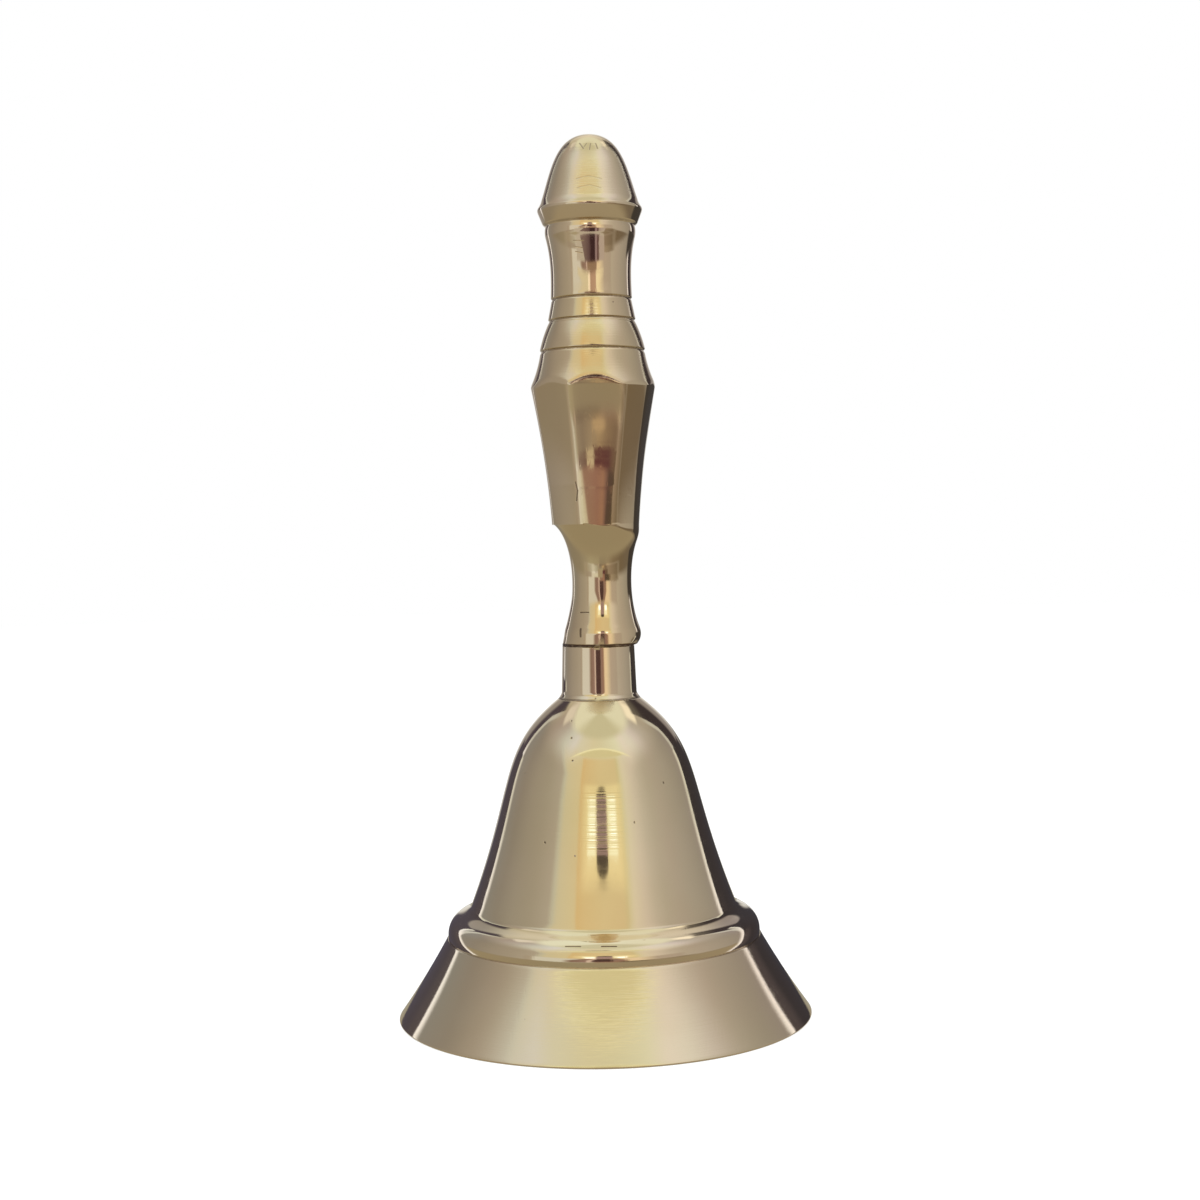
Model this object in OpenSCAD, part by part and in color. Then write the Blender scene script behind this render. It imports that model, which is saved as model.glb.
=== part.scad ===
// Hand altar bell: a turned brass bell on a turned and ground brass handle.
// The mouth stands on z = 0, centred on the origin, and the handle points up +Z. The front is -Y.
// All sizes are in millimetres and all angles in degrees.

/* [Bell shell] */
// Outer radius of the mouth
mouth_r = 32.8; // [29:0.1:38]
// Height of the flared skirt
skirt_h = 12.6; // [10:0.1:15]
// Outer radius at the top of the skirt
skirt_top_r = 24.95; // [23.5:0.05:27]
// How far the middle of the skirt stands in from a straight line
skirt_hollow = 0.22; // [0:0.02:0.5]
// Bevel of the lip's outer edge
lip_edge = 0.25; // [0.1:0.05:0.6]
// Thickness of the wall, square to its surface
wall_t = 2.0; // [1.6:0.1:2.4]
// Radius of the half round moulding above the skirt
moulding_r = 3.4; // [2.8:0.1:4]
// How far the moulding stands back from the top edge of the skirt
moulding_back = 0.12; // [0.06:0.02:0.6]
// Height of the moulding's centre above the skirt
moulding_lift = 0.7; // [0.3:0.1:1.4]
// Angle above level at which the moulding runs into its fillet
moulding_end = 54; // [45:1:64]
// Height of the fillet's end above the top of the moulding's circle
fillet_up = 0.9; // [0.5:0.1:1.6]
// How far the fillet's end stands in from the moulding's centre
fillet_in = 0.35; // [0.1:0.05:0.7]
// Pull of the fillet's curve at both ends
fillet_pull = 0.8; // [0.4:0.1:1.3]
// Height of the shell from the mouth to the foot of the neck
shell_h = 50.3; // [46:0.1:58]
// Thickness of the crown under the neck
crown_t = 4.0; // [3:0.1:5.5]
// Pull of the body's flare, inwards
flare_in = 7.6; // [6:0.1:9]
// Pull of the body's flare, upwards
flare_up = 19.8; // [15:0.1:23]
// Pull of the body's shoulder, outwards
shoulder_out = 10.0; // [8.5:0.1:11]
// Pull of the body's shoulder, downwards
shoulder_down = 7.9; // [5:0.1:9]

/* [Neck] */
// Radius of the small turned ring at the foot of the neck
neck_ring_r = 6.5; // [6.3:0.05:7.2]
// Height of that ring
neck_ring_h = 0.7; // [0.4:0.1:1.4]
// Radius of the neck just above the ring
neck_foot_r = 6.0; // [5.85:0.05:6.2]
// Radius of the neck where it meets the handle
neck_top_r = 5.75; // [5.2:0.05:5.85]
// Height of the neck above the ring
neck_h = 7.8; // [5:0.1:10]

/* [Handle foot and waist] */
// How far the waist and its foot bead are cast off the axis, towards +X
waist_shift = 0.76; // [0:0.02:0.9]
// Radius of the foot bead
foot_bead_r = 6.14; // [5.8:0.02:6.8]
// Height of the foot bead's widest point above the seam
foot_bead_h = 1.8; // [1.3:0.1:2.4]
// Height of the whole foot above the seam
foot_h = 2.9; // [2.6:0.1:3.8]
// How much narrower the foot is at its seam than at its bead
foot_undercut = 0.7; // [0.3:0.1:1]
// Radius of the waist where it leaves the foot
waist_low_r = 5.85; // [5.4:0.05:6]
// Pull of the waist hollow at its lower end
waist_low_pull = 4.9; // [3.5:0.1:6]
// Inward pull of the waist hollow at its lower end
waist_low_in = 1.9; // [1.2:0.1:2.1]
// Height of the waist
waist_h = 16.3; // [13:0.1:20]
// Pull of the waist hollow at its upper end
waist_top_pull = 2.5; // [1.5:0.1:3.5]
// Inward pull of the waist hollow at its upper end
waist_top_in = 3.0; // [2.4:0.05:3.4]

/* [Ground body] */
// Radius of the turned body at its foot, before grinding
body_foot_r = 7.45; // [7:0.05:8]
// Radius of the turned body at the shoulder, before grinding
shoulder_r = 10.15; // [9:0.05:11.5]
// Height of the tapered body
body_h = 21.8; // [17:0.1:27]
// Radius of the wheel that grinds the facets hollow
wheel_r = 130; // [90:5:400]
// Height of the cone above the shoulder
shoulder_h = 5.8; // [4.5:0.1:8]
// How far the middle of that cone stands in from a straight line
shoulder_hollow = 0.2; // [0:0.02:0.4]

/* [Collars and grip] */
// Radius of the lower collar at its foot
collar_r = 8.4; // [7.9:0.1:8.9]
// Height of the lower collar
collar_h = 4.9; // [3.5:0.1:6.5]
// How far the middle of the lower collar stands out from a straight line
collar_round = 0.12; // [0:0.02:0.3]
// Radius of the step between the two collars
collar_step_r = 7.0; // [6.7:0.1:7.5]
// Height of the upper collar
upper_collar_h = 3.4; // [2.4:0.1:4.6]
// Radius of the grip at its foot
grip_r = 6.5; // [6.1:0.1:6.7]
// Height of the grip
grip_h = 11.9; // [9:0.1:16]
// Radius of the grip under the flange
grip_top_r = 7.6; // [7.2:0.1:8]
// Inward pull of the grip's hollow
grip_in = 0.15; // [0:0.05:0.5]
// Pull of the grip's curve at both ends
grip_pull = 4.4; // [2.5:0.1:5]
// Depth of the turned grooves
groove_d = 0.22; // [0.1:0.02:0.4]
// Width of the turned grooves
groove_w = 0.4; // [0.2:0.05:0.7]

/* [Finial] */
// Radius of the sharp flange
flange_r = 8.4; // [8.2:0.1:9.5]
// Height of the flange's edge above the grip
flange_up = 2.4; // [1.8:0.1:3.4]
// Height of the cone between the flange's edge and the finial
flange_top = 1.0; // [0.6:0.1:1.8]
// Radius of the finial at its foot
finial_r = 7.9; // [7:0.1:8.1]
// Height of the finial
finial_h = 11.1; // [8:0.1:15]
// Inward pull of the finial's flank
finial_in = 1.8; // [1:0.1:2.6]
// Upward pull of the finial's flank
finial_up = 5.4; // [3.5:0.1:7]
// Breadth of the finial's round top
finial_top = 5.4; // [4:0.1:6]

/* [Eye bolt, nut and washer] */
// Radius of the threaded stud
stud_r = 2.0; // [1.6:0.05:2.2]
// Length of stud that is screwed into the handle
stud_grip = 12; // [8:0.5:14]
// Length of stud between the nut and the eye
stud_tail = 2.0; // [1.6:0.1:3]
// Mean radius of the eye
eye_r = 3.0; // [2.8:0.05:3.4]
// Radius of the eye's wire
eye_wire_r = 1.2; // [1:0.05:1.3]
// Thickness of the washer
washer_t = 0.8; // [0.5:0.1:1.2]
// Outer radius of the washer
washer_r = 4.5; // [4.2:0.1:6]
// Width of the nut across its flats
nut_af = 7; // [6.4:0.1:8]
// Height of the nut
nut_h = 3.2; // [2.2:0.1:4]

/* [Clapper] */
// Mean radius of the round link
link_r = 3.4; // [3.2:0.05:3.8]
// Radius of the link's wire
link_wire_r = 0.8; // [0.65:0.05:0.9]
// Mean radius of the clapper rod's loop
loop_r = 2.5; // [2.3:0.05:2.7]
// Radius of the clapper rod
rod_r = 0.9; // [0.7:0.05:1]
// Length of the rod from its loop to the middle of the ball
rod_l = 16.5; // [13:0.1:17.5]
// Radius of the ball
ball_r = 5.6; // [5:0.1:6.6]
// Radius of the two flats filed on the ball
ball_flat_r = 2.0; // [1.9:0.1:2.5]
// Radius of the collar and the peened head that hold the ball
head_r = 1.6; // [1.3:0.1:1.8]
// Height of the collar and of the peened head
head_h = 0.9; // [0.6:0.1:1.2]

/* [Clearances] */
// Clearance of the stud in the crown and the washer
hole_clear = 0.2; // [0.1:0.05:0.4]
// Clearance between the flanks of a thread
thread_clear = 0.05; // [0.02:0.01:0.1]
// Gap between the end of the stud and the bottom of its hole
hole_end_gap = 1.0; // [0.5:0.1:2]
// Gap where one ring hangs in another
hang_gap = 0.12; // [0.1:0.02:0.25]
// Clearance of the rod in the ball
ball_clear = 0.03; // [0.02:0.01:0.06]

/* [Hidden] */
$fn = 96;

BRASS = "#b8a176";
STEEL = "#8d8f92";
CURVE_STEPS = 14;
BOW_STEPS = 5;
ARC_STEPS = 12;
PAST = 1;

// Facets by direction from the front towards +X, then how deep each is ground
// below the turned body at the shoulder and at the foot. They are ground by hand, so they differ.
FACETS = [
    [1.5, 1.05, 0.95],
    [44, 0.1, 0.9],
    [80, 0.6, 1.1],
    [135, 0.4, 1.35],
    [180, 0.9, 1.05],
    [225, 0.7, 1.0],
    [270, 0.2, 0.8],
    [315, 0.85, 1.0]
];
// The wheel runs out this far below the body's foot
wheel_run_out = 4;
wheel_w = 4 * shoulder_r;

moulding_mid_r = skirt_top_r - moulding_back - moulding_r;
moulding_mid_z = skirt_h + moulding_lift;
body_low = [moulding_mid_r - fillet_in, moulding_mid_z + moulding_r + fillet_up];
body_top = [neck_ring_r, shell_h];
ceiling_z = shell_h - crown_t;
neck_low_z = shell_h + neck_ring_h;
seam_z = neck_low_z + neck_h;

// The bead's curve is drawn a little past the radius that it reaches
foot_pull_r = foot_bead_r + 0.1;
waist_low_z = seam_z + foot_h;
body_low_z = waist_low_z + waist_h;
shoulder_z = body_low_z + body_h;
collar_z = shoulder_z + shoulder_h;
collar_step_z = collar_z + collar_h;
grip_z = collar_step_z + upper_collar_h;
grip_top_z = grip_z + grip_h;
flange_z = grip_top_z + flange_up;
finial_z = flange_z + flange_top;
apex_z = finial_z + finial_h;

washer_z = ceiling_z - washer_t;
nut_z = washer_z - nut_h;
// The stud's tail runs on full for a third of its length and then tapers to the eye's wire
stud_full = stud_tail / 3;
stud_taper = stud_tail - stud_full;
eye_z = nut_z - stud_tail - eye_r;
// The link turns about the middle of the wire at the bottom of the eye
link_pivot_z = eye_z - eye_r;
link_z = link_pivot_z + eye_wire_r + hang_gap + link_wire_r - link_r;
// The rod turns about the middle of the wire at the bottom of the link
rod_pivot_z = link_z - link_r;
loop_z = rod_pivot_z + link_wire_r + hang_gap + rod_r - loop_r;
loop_low_z = loop_z - loop_r;
ball_z = loop_low_z - rod_l;
// Half the height of the ball between its flats
ball_half = sqrt(ball_r * ball_r - ball_flat_r * ball_flat_r);
// The peened head narrows to this radius at its end
head_end_r = 0.7 * head_r;
// The rod runs this far down into its peened head
rod_in_head = head_h / 2;

// Points along a cubic curve from a to d, drawn towards b and c
function curve(a, b, c, d) = [
    for (i = [0:CURVE_STEPS])
        let (t = i / CURVE_STEPS, s = 1 - t)
            s * s * s * a + 3 * s * s * t * b + 3 * s * t * t * c + t * t * t * d
];

// A line of points without its first, where the line before it ends there
function onwards(line) = [for (i = [1:len(line) - 1]) line[i]];

// Points along an arc round a middle point
function arc(mid, r, from, to, steps) = [
    for (i = [0:steps])
        let (a = from + (to - from) * i / steps)
            mid + r * [cos(a), sin(a)]
];

// A line of points moved to its left by t, square to the line
function inset(line, t) = [
    for (i = [0:len(line) - 1])
        let (d = line[min(i + 1, len(line) - 1)] - line[max(i - 1, 0)])
            line[i] + t * [-d[1], d[0]] / norm(d)
];

// Points along a shallow curve from a to b, with its middle moved to its left by bow
function bowed(a, b, bow) =
    let (side = [a[1] - b[1], b[0] - a[0]] / norm(b - a))
        [
            for (i = [0:BOW_STEPS])
                let (t = i / BOW_STEPS)
                    a + t * (b - a) + 4 * bow * t * (1 - t) * side
        ];

// A small V groove in an outline that runs up past radius r at height z
function groove(r, z) = [
    [r, z - groove_w / 2],
    [r - groove_d, z],
    [r, z + groove_w / 2]
];

function body_line() = curve(
    body_low,
    body_low + [-flare_in, flare_up],
    body_top + [shoulder_out, -shoulder_down],
    body_top
);

skirt_line = bowed([mouth_r, lip_edge], [skirt_top_r, skirt_h], skirt_hollow);

module turned(outline) {
    rotate_extrude()
        polygon(outline);
}

// A ring of wire that stands upright, seen flat from the side
module ring(mean_r, wire_r) {
    rotate([90, 0, 90])
        rotate_extrude()
            translate([mean_r, 0])
                circle(r = wire_r, $fn = 32);
}

// The half round moulding, from the top of the skirt up to its fillet
function moulding_line() = arc(
    [moulding_mid_r, moulding_mid_z],
    moulding_r,
    -asin(moulding_lift / moulding_r),
    moulding_end,
    ARC_STEPS
);

module bell_outside() {
    moulding = moulding_line();
    moulding_top = moulding[len(moulding) - 1];
    flare = [-flare_in, flare_up] / norm([flare_in, flare_up]);
    turned(concat(
        [[0, 0], [mouth_r - lip_edge, 0]],
        skirt_line,
        moulding,
        onwards(curve(
            moulding_top,
            moulding_top + fillet_pull * [-sin(moulding_end), cos(moulding_end)],
            body_low - fillet_pull * flare,
            body_low
        )),
        onwards(body_line()),
        [
            [neck_foot_r, neck_low_z],
            [neck_top_r, seam_z],
            [0, seam_z]
        ]
    ));
}

module bell_hollow() {
    // Inside, the skirt runs on down past the mouth by one more step of its line
    past_mouth = 2 * skirt_line[0] - skirt_line[1];
    hollow = inset(concat([past_mouth], skirt_line, body_line()), wall_t);
    intersection() {
        turned(concat([[0, hollow[0][1]]], hollow, [[0, hollow[len(hollow) - 1][1]]]));
        translate([0, 0, -skirt_h])
            cylinder(r = 2 * mouth_r, h = ceiling_z + skirt_h);
    }
}

module bell() {
    color(BRASS)
        difference() {
            bell_outside();
            bell_hollow();
            translate([0, 0, ceiling_z - PAST])
                cylinder(r = stud_r + hole_clear, h = seam_z - ceiling_z + 2 * PAST);
        }
}

// One hollow ground facet: the part of the grinding wheel that reaches into the body
module facet_cut(direction, top_depth, foot_depth) {
    foot = [body_foot_r - foot_depth, body_low_z];
    top = [shoulder_r - top_depth, shoulder_z];
    chord = top - foot;
    reach = sqrt(wheel_r * wheel_r - chord * chord / 4);
    mid = (foot + top) / 2 + reach * [chord[1], -chord[0]] / norm(chord);
    rotate([0, 0, direction])
        intersection() {
            translate([0, -mid[0], mid[1]])
                rotate([0, 90, 0])
                    cylinder(r = wheel_r, h = wheel_w, center = true, $fn = 360);
            translate([-wheel_w / 2, -2 * shoulder_r, body_low_z - wheel_run_out])
                cube([wheel_w, 2 * shoulder_r, wheel_run_out + body_h + shoulder_h]);
        }
}

// The foot bead and the waist, turned about their own axis
module waist() {
    low = [waist_low_r, waist_low_z];
    top = [body_foot_r, body_low_z];
    translate([waist_shift, 0, 0])
        turned(concat(
            [[0, seam_z]],
            curve(
                [foot_bead_r - foot_undercut, seam_z],
                [foot_pull_r, seam_z + foot_bead_h / 2],
                [foot_pull_r, seam_z + foot_bead_h],
                low
            ),
            onwards(curve(
                low,
                low + [-waist_low_in, waist_low_pull],
                top + [-waist_top_in, -waist_top_pull],
                top
            )),
            [[0, body_low_z]]
        ));
}

module handle_turning() {
    flank = [finial_r - finial_in, finial_z + finial_up];
    union() {
        waist();
        // The foot is turned true to the neck at the seam
        translate([0, 0, seam_z])
            cylinder(r1 = neck_top_r, r2 = neck_top_r - foot_undercut, h = foot_h);
        turned(concat(
            [
                [0, body_low_z],
                [body_foot_r, body_low_z]
            ],
            bowed([shoulder_r, shoulder_z], [collar_r, collar_z - groove_w], shoulder_hollow),
            groove(collar_r, collar_z),
            bowed([collar_r, collar_z + groove_w], [collar_step_r, collar_step_z - groove_w], -collar_round),
            groove(collar_step_r, collar_step_z),
            groove(grip_r, grip_z),
            curve(
                [grip_r, grip_z + groove_w],
                [grip_r - grip_in, grip_z + grip_pull],
                [grip_r - grip_in, grip_top_z - grip_pull],
                [grip_top_r, grip_top_z - groove_w]
            ),
            groove(grip_top_r, grip_top_z),
            [[flange_r, flange_z]],
            curve([finial_r, finial_z], flank, [finial_top, apex_z], [0, apex_z])
        ));
    }
}

// The turning with its first facets ground, one after another
module ground(count) {
    if (count == 0)
        handle_turning();
    else
        difference() {
            ground(count - 1);
            facet_cut(FACETS[count - 1][0], FACETS[count - 1][1], FACETS[count - 1][2]);
        }
}

module handle() {
    color(BRASS)
        difference() {
            ground(len(FACETS));
            translate([0, 0, seam_z - PAST])
                cylinder(r = stud_r + thread_clear, h = stud_grip + hole_end_gap + PAST);
            translate([0, 0, seam_z + stud_grip + hole_end_gap])
                cylinder(r1 = stud_r + thread_clear, r2 = 0, h = stud_r);
        }
}

module eye_bolt() {
    stud_low_z = eye_z + eye_r;
    color(STEEL)
        union() {
            translate([0, 0, nut_z - stud_full])
                cylinder(r = stud_r, h = seam_z + stud_grip - nut_z + stud_full);
            // The stud is drawn down to the wire of the eye
            translate([0, 0, stud_low_z])
                cylinder(r1 = eye_wire_r, r2 = stud_r, h = stud_taper);
            translate([0, 0, eye_z])
                ring(eye_r, eye_wire_r);
        }
}

module crown_washer() {
    color(STEEL)
        translate([0, 0, washer_z])
            difference() {
                cylinder(r = washer_r, h = washer_t);
                translate([0, 0, -PAST])
                    cylinder(r = stud_r + hole_clear, h = washer_t + 2 * PAST);
            }
}

module crown_nut() {
    corner_r = nut_af / sqrt(3);
    bevel = corner_r - nut_af / 2;
    color(STEEL)
        translate([0, 0, nut_z])
            difference() {
                intersection() {
                    cylinder(r = corner_r, h = nut_h, $fn = 6);
                    turned([
                        [0, 0],
                        [nut_af / 2, 0],
                        [corner_r, bevel],
                        [corner_r, nut_h],
                        [0, nut_h]
                    ]);
                }
                translate([0, 0, -PAST])
                    cylinder(r = stud_r + thread_clear, h = nut_h + 2 * PAST);
            }
}

module clapper_link() {
    color(STEEL)
        translate([0, 0, link_z])
            rotate([0, 0, 90])
                ring(link_r, link_wire_r);
}

module clapper_rod() {
    color(STEEL)
        union() {
            translate([0, 0, loop_z])
                ring(loop_r, rod_r);
            translate([0, 0, ball_z - ball_half - rod_in_head])
                cylinder(r = rod_r, h = loop_low_z - ball_z + ball_half + rod_in_head);
            translate([0, 0, ball_z + ball_half])
                cylinder(r = head_r, h = head_h);
            translate([0, 0, ball_z - ball_half - head_h])
                cylinder(r1 = head_end_r, r2 = head_r, h = head_h);
        }
}

module clapper_ball() {
    color(BRASS)
        translate([0, 0, ball_z])
            difference() {
                intersection() {
                    sphere(r = ball_r);
                    cylinder(r = ball_r + PAST, h = 2 * ball_half, center = true);
                }
                cylinder(r = rod_r + ball_clear, h = 2 * ball_r, center = true);
            }
}

handle();
bell();
eye_bolt();
crown_washer();
crown_nut();
clapper_link();
clapper_rod();
clapper_ball();
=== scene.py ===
"""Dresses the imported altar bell: a turned brass bell on a hand ground brass handle, with its clapper.

Every piece is modelled at its place in the shared frame, in metres. The sizes below are in millimetres, as on
a workshop drawing, and the shapers turn them into metres as meshes are made. Rows hold colours in percent.
"""
import logging
import math
from collections.abc import Callable
from dataclasses import dataclass, field
from enum import Enum

import bpy
import numpy as np
from mathutils import Matrix, Vector


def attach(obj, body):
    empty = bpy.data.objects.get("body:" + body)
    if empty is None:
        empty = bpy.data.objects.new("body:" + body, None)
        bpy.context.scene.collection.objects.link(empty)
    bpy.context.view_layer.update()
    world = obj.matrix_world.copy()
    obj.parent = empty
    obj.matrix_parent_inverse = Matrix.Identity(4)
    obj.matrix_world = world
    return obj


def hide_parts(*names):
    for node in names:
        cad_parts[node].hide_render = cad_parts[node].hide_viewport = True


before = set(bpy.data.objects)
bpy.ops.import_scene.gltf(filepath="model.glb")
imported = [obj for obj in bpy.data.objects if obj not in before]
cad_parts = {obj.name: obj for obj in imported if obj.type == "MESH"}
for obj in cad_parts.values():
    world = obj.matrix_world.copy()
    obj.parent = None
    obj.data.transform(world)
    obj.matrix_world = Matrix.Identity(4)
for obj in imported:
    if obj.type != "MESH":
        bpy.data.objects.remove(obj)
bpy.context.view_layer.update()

LOG = logging.getLogger("altar_bell")
MM = 0.001
DEGREES = 180.0 / math.pi
QUARTER, TURN = math.pi / 2, 2 * math.pi
MERGE = 2e-6
TINY = 1e-6
OUT_OF_REACH = 99.0
Point = tuple[float, float]
Place = tuple[float, float, float]
Colour = tuple[float, float, float]
Row = tuple[float, float, float, float]
Piece = bpy.types.Object


class Body(Enum):
    """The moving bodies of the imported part."""

    BELL = "bell_and_handle"
    LINK = "link"
    CLAPPER = "clapper"


class Slot(Enum):
    """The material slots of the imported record."""

    HANDLE = "handle_brass"
    BELL = "bell_brass"
    CLAPPER = "clapper_brass"
    STEEL = "steel"


# Node expressions


def _operator(operation: str, swapped: bool = False) -> Callable[..., "Sock"]:
    """Makes one of a socket's operators.

    Args: operation, the Math node's, and swapped, whether the socket comes last. Returns: the method.
    """
    def apply(self: "Sock", *other: "Sock | float") -> "Sock":
        """Adds the Math node. Args: other, the other values. Returns: its output."""
        values = (*other, self) if swapped else (self, *other)
        return self.tree.node("Math", {"operation": operation}, *values)

    return apply


class Sock:
    """A node's output that can stand in a Python expression."""

    __add__, __radd__ = _operator("ADD"), _operator("ADD", True)
    __sub__, __rsub__ = _operator("SUBTRACT"), _operator("SUBTRACT", True)
    __mul__, __rmul__ = _operator("MULTIPLY"), _operator("MULTIPLY", True)
    __truediv__, __pow__ = _operator("DIVIDE"), _operator("POWER")
    abs, arcsine, turn_of = _operator("ABSOLUTE"), _operator("ARCSINE"), _operator("ARCTAN2")
    larger, smaller = _operator("MAXIMUM"), _operator("MINIMUM")

    def __init__(self, tree: "Tree", out: bpy.types.NodeSocket | None) -> None:
        """Args: tree, the tree that the output is in, and out, the output itself."""
        self.tree = tree
        self.out = out

    def at(self, name: int | str) -> "Sock":
        """Another output of the same node. Args: its name or number. Returns: it."""
        return Sock(self.tree, self.out.node.outputs[name])

    def clamp(self) -> "Sock":
        """Holds it between 0 and 1. Returns: it."""
        return self.tree.node("Math", {"operation": "ADD", "use_clamp": True}, self, 0.0)

    def rise(self, low: float, high: float) -> "Sock":
        """A smooth step up. Args: low and high, where it starts and ends. Returns: 0 to 1."""
        return self.tree.node("MapRange", {"interpolation_type": "SMOOTHSTEP"}, self, low, high, 0.0, 1.0)

    def fall(self, low: float, high: float) -> "Sock":
        """A smooth step down. Args: low and high, where it starts and ends. Returns: 1 to 0."""
        return 1.0 - self.rise(low, high)

    def band(self, low: float, high: float, soft: float) -> "Sock":
        """A soft window. Args: low, high and the width of its soft edges. Returns: 0 to 1."""
        return self.rise(low - soft, low + soft) * self.fall(high - soft, high + soft)

    def ramp(self, *rows: Row, span: Point | None = None) -> "Sock":
        """A colour ramp. Args: rows, each a place and a colour, and span if not theirs. Returns: a colour."""
        low, high = span or (rows[0][0], rows[-1][0])
        stops = [((row[0] - low) / (high - low), tuple(part / 100 for part in row[1:])) for row in rows]
        return self.tree.node("ValToRGB", {"stops": stops}, (self - low) / (high - low))

    def graph(self, *rows: Point) -> "Sock":
        """A line through points. Args: rows, each a place and its value. Returns: the value."""
        return self.tree.axes(self.ramp(*((place, value, value, value) for place, value in rows)))[0] * 100.0


class Tree:
    """The nodes of one material or world."""

    def __init__(self, owner: bpy.types.Material | bpy.types.World) -> None:
        """Args: owner, a material or world whose nodes are made here."""
        owner.use_nodes = True
        self.owner = owner
        self.tree = owner.node_tree
        self.tree.nodes.clear()

    @classmethod
    def material(cls, name: str) -> "Tree":
        """Starts a material. Args: its name. Returns: its nodes."""
        return cls(bpy.data.materials.new(name))

    def node(self, kind: str, settings: dict | None = None, *values: object, **named: object) -> Sock:
        """Adds one node.

        Args:
            kind: the node's type, without what all types start with.
            settings: its properties, or the stops of a ramp, which are set first.
            values: values or links of its first sockets in order; None leaves one as it is.
            named: values or links of sockets by name, with _ for a space.

        Returns:
            Its first output, if it has one.
        """
        node = self.tree.nodes.new("ShaderNode" + kind)
        for key, value in (settings or {}).items():
            if key == "stops":
                self._stops(node.color_ramp, value)
            else:
                setattr(node, key, value)
        for socket, value in zip(node.inputs, values):
            self._put(socket, value)
        for name, value in named.items():
            self._put(node.inputs[name.replace("_", " ")], value)
        return Sock(self, node.outputs[0] if node.outputs else None)

    @staticmethod
    def _stops(ramp: bpy.types.ColorRamp, stops: list[tuple[float, Colour]]) -> None:
        """Sets the stops of a ramp, each one added at its own place and in order. Args: ramp and stops."""
        while len(ramp.elements) > 1:
            ramp.elements.remove(ramp.elements[-1])
        first = ramp.elements[0]
        first.position, first.color = stops[0][0], (*stops[0][1], 1.0)
        for place, colour in stops[1:]:
            ramp.elements.new(place).color = (*colour, 1.0)

    def _put(self, socket: bpy.types.NodeSocket, value: object) -> None:
        """Links or sets one socket. Args: socket and value, None to leave it."""
        if isinstance(value, Sock):
            self.tree.links.new(value.out, socket)
        elif value is not None:
            socket.default_value = (*value, 1.0) if socket.type == "RGBA" else value

    def end(self, shader: Sock) -> bpy.types.Material | bpy.types.World:
        """Links the finished shader to the output. Args: shader. Returns: the material or world."""
        kind = "World" if isinstance(self.owner, bpy.types.World) else "Material"
        self.node("Output" + kind, None, shader)
        return self.owner

    def metal(self, colour: Sock, rough: Sock, normal: Sock) -> bpy.types.Material:
        """Ends a material as bare metal. Args: its colour, roughness and normal. Returns: the material."""
        return self.end(
            self.node("BsdfPrincipled", Base_Color=colour, Metallic=1.0, Roughness=rough, Normal=normal)
        )

    def blend(self, fac: Sock, a: Sock, b: Sock) -> Sock:
        """Mixes two shaders. Args: fac from 0 to 1, and the shaders. Returns: the new shader."""
        return self.node("MixShader", None, fac, a, b)

    def place(self) -> Sock:
        """Object coordinates. Returns: them, in metres."""
        return self.node("TexCoord").at("Object")

    def axes(self, vector: Sock) -> tuple[Sock, Sock, Sock]:
        """Splits a vector. Args: vector. Returns: its three numbers."""
        first = self.node("SeparateXYZ", None, vector)
        return first, first.at(1), first.at(2)

    def noise(self, vector: Sock, scale: float, detail: float = 2.0, rough: float = 0.5) -> Sock:
        """A noise. Args: vector, scale per metre, detail and roughness. Returns: 0 to 1."""
        return self.node("TexNoise", Vector=vector, Scale=scale, Detail=detail, Roughness=rough)

    def mix(self, fac: Sock | float, a: Sock | Colour, b: Sock | Colour) -> Sock:
        """Mixes two colours. Args: fac from 0 to 1, and the colours. Returns: the colour."""
        skipped = [None] * 5
        return self.node("Mix", {"data_type": "RGBA"}, fac, *skipped, a, b).at(2)

    def bump(self, height: Sock, distance: float, strength: float = 1.0, normal: Sock | None = None) -> Sock:
        """A bump. Args: height, 0 to 1, distance in metres, strength, and a bump below. Returns: a normal."""
        return self.node("Bump", Strength=strength, Distance=distance, Height=height, Normal=normal)


# Finishes


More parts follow.
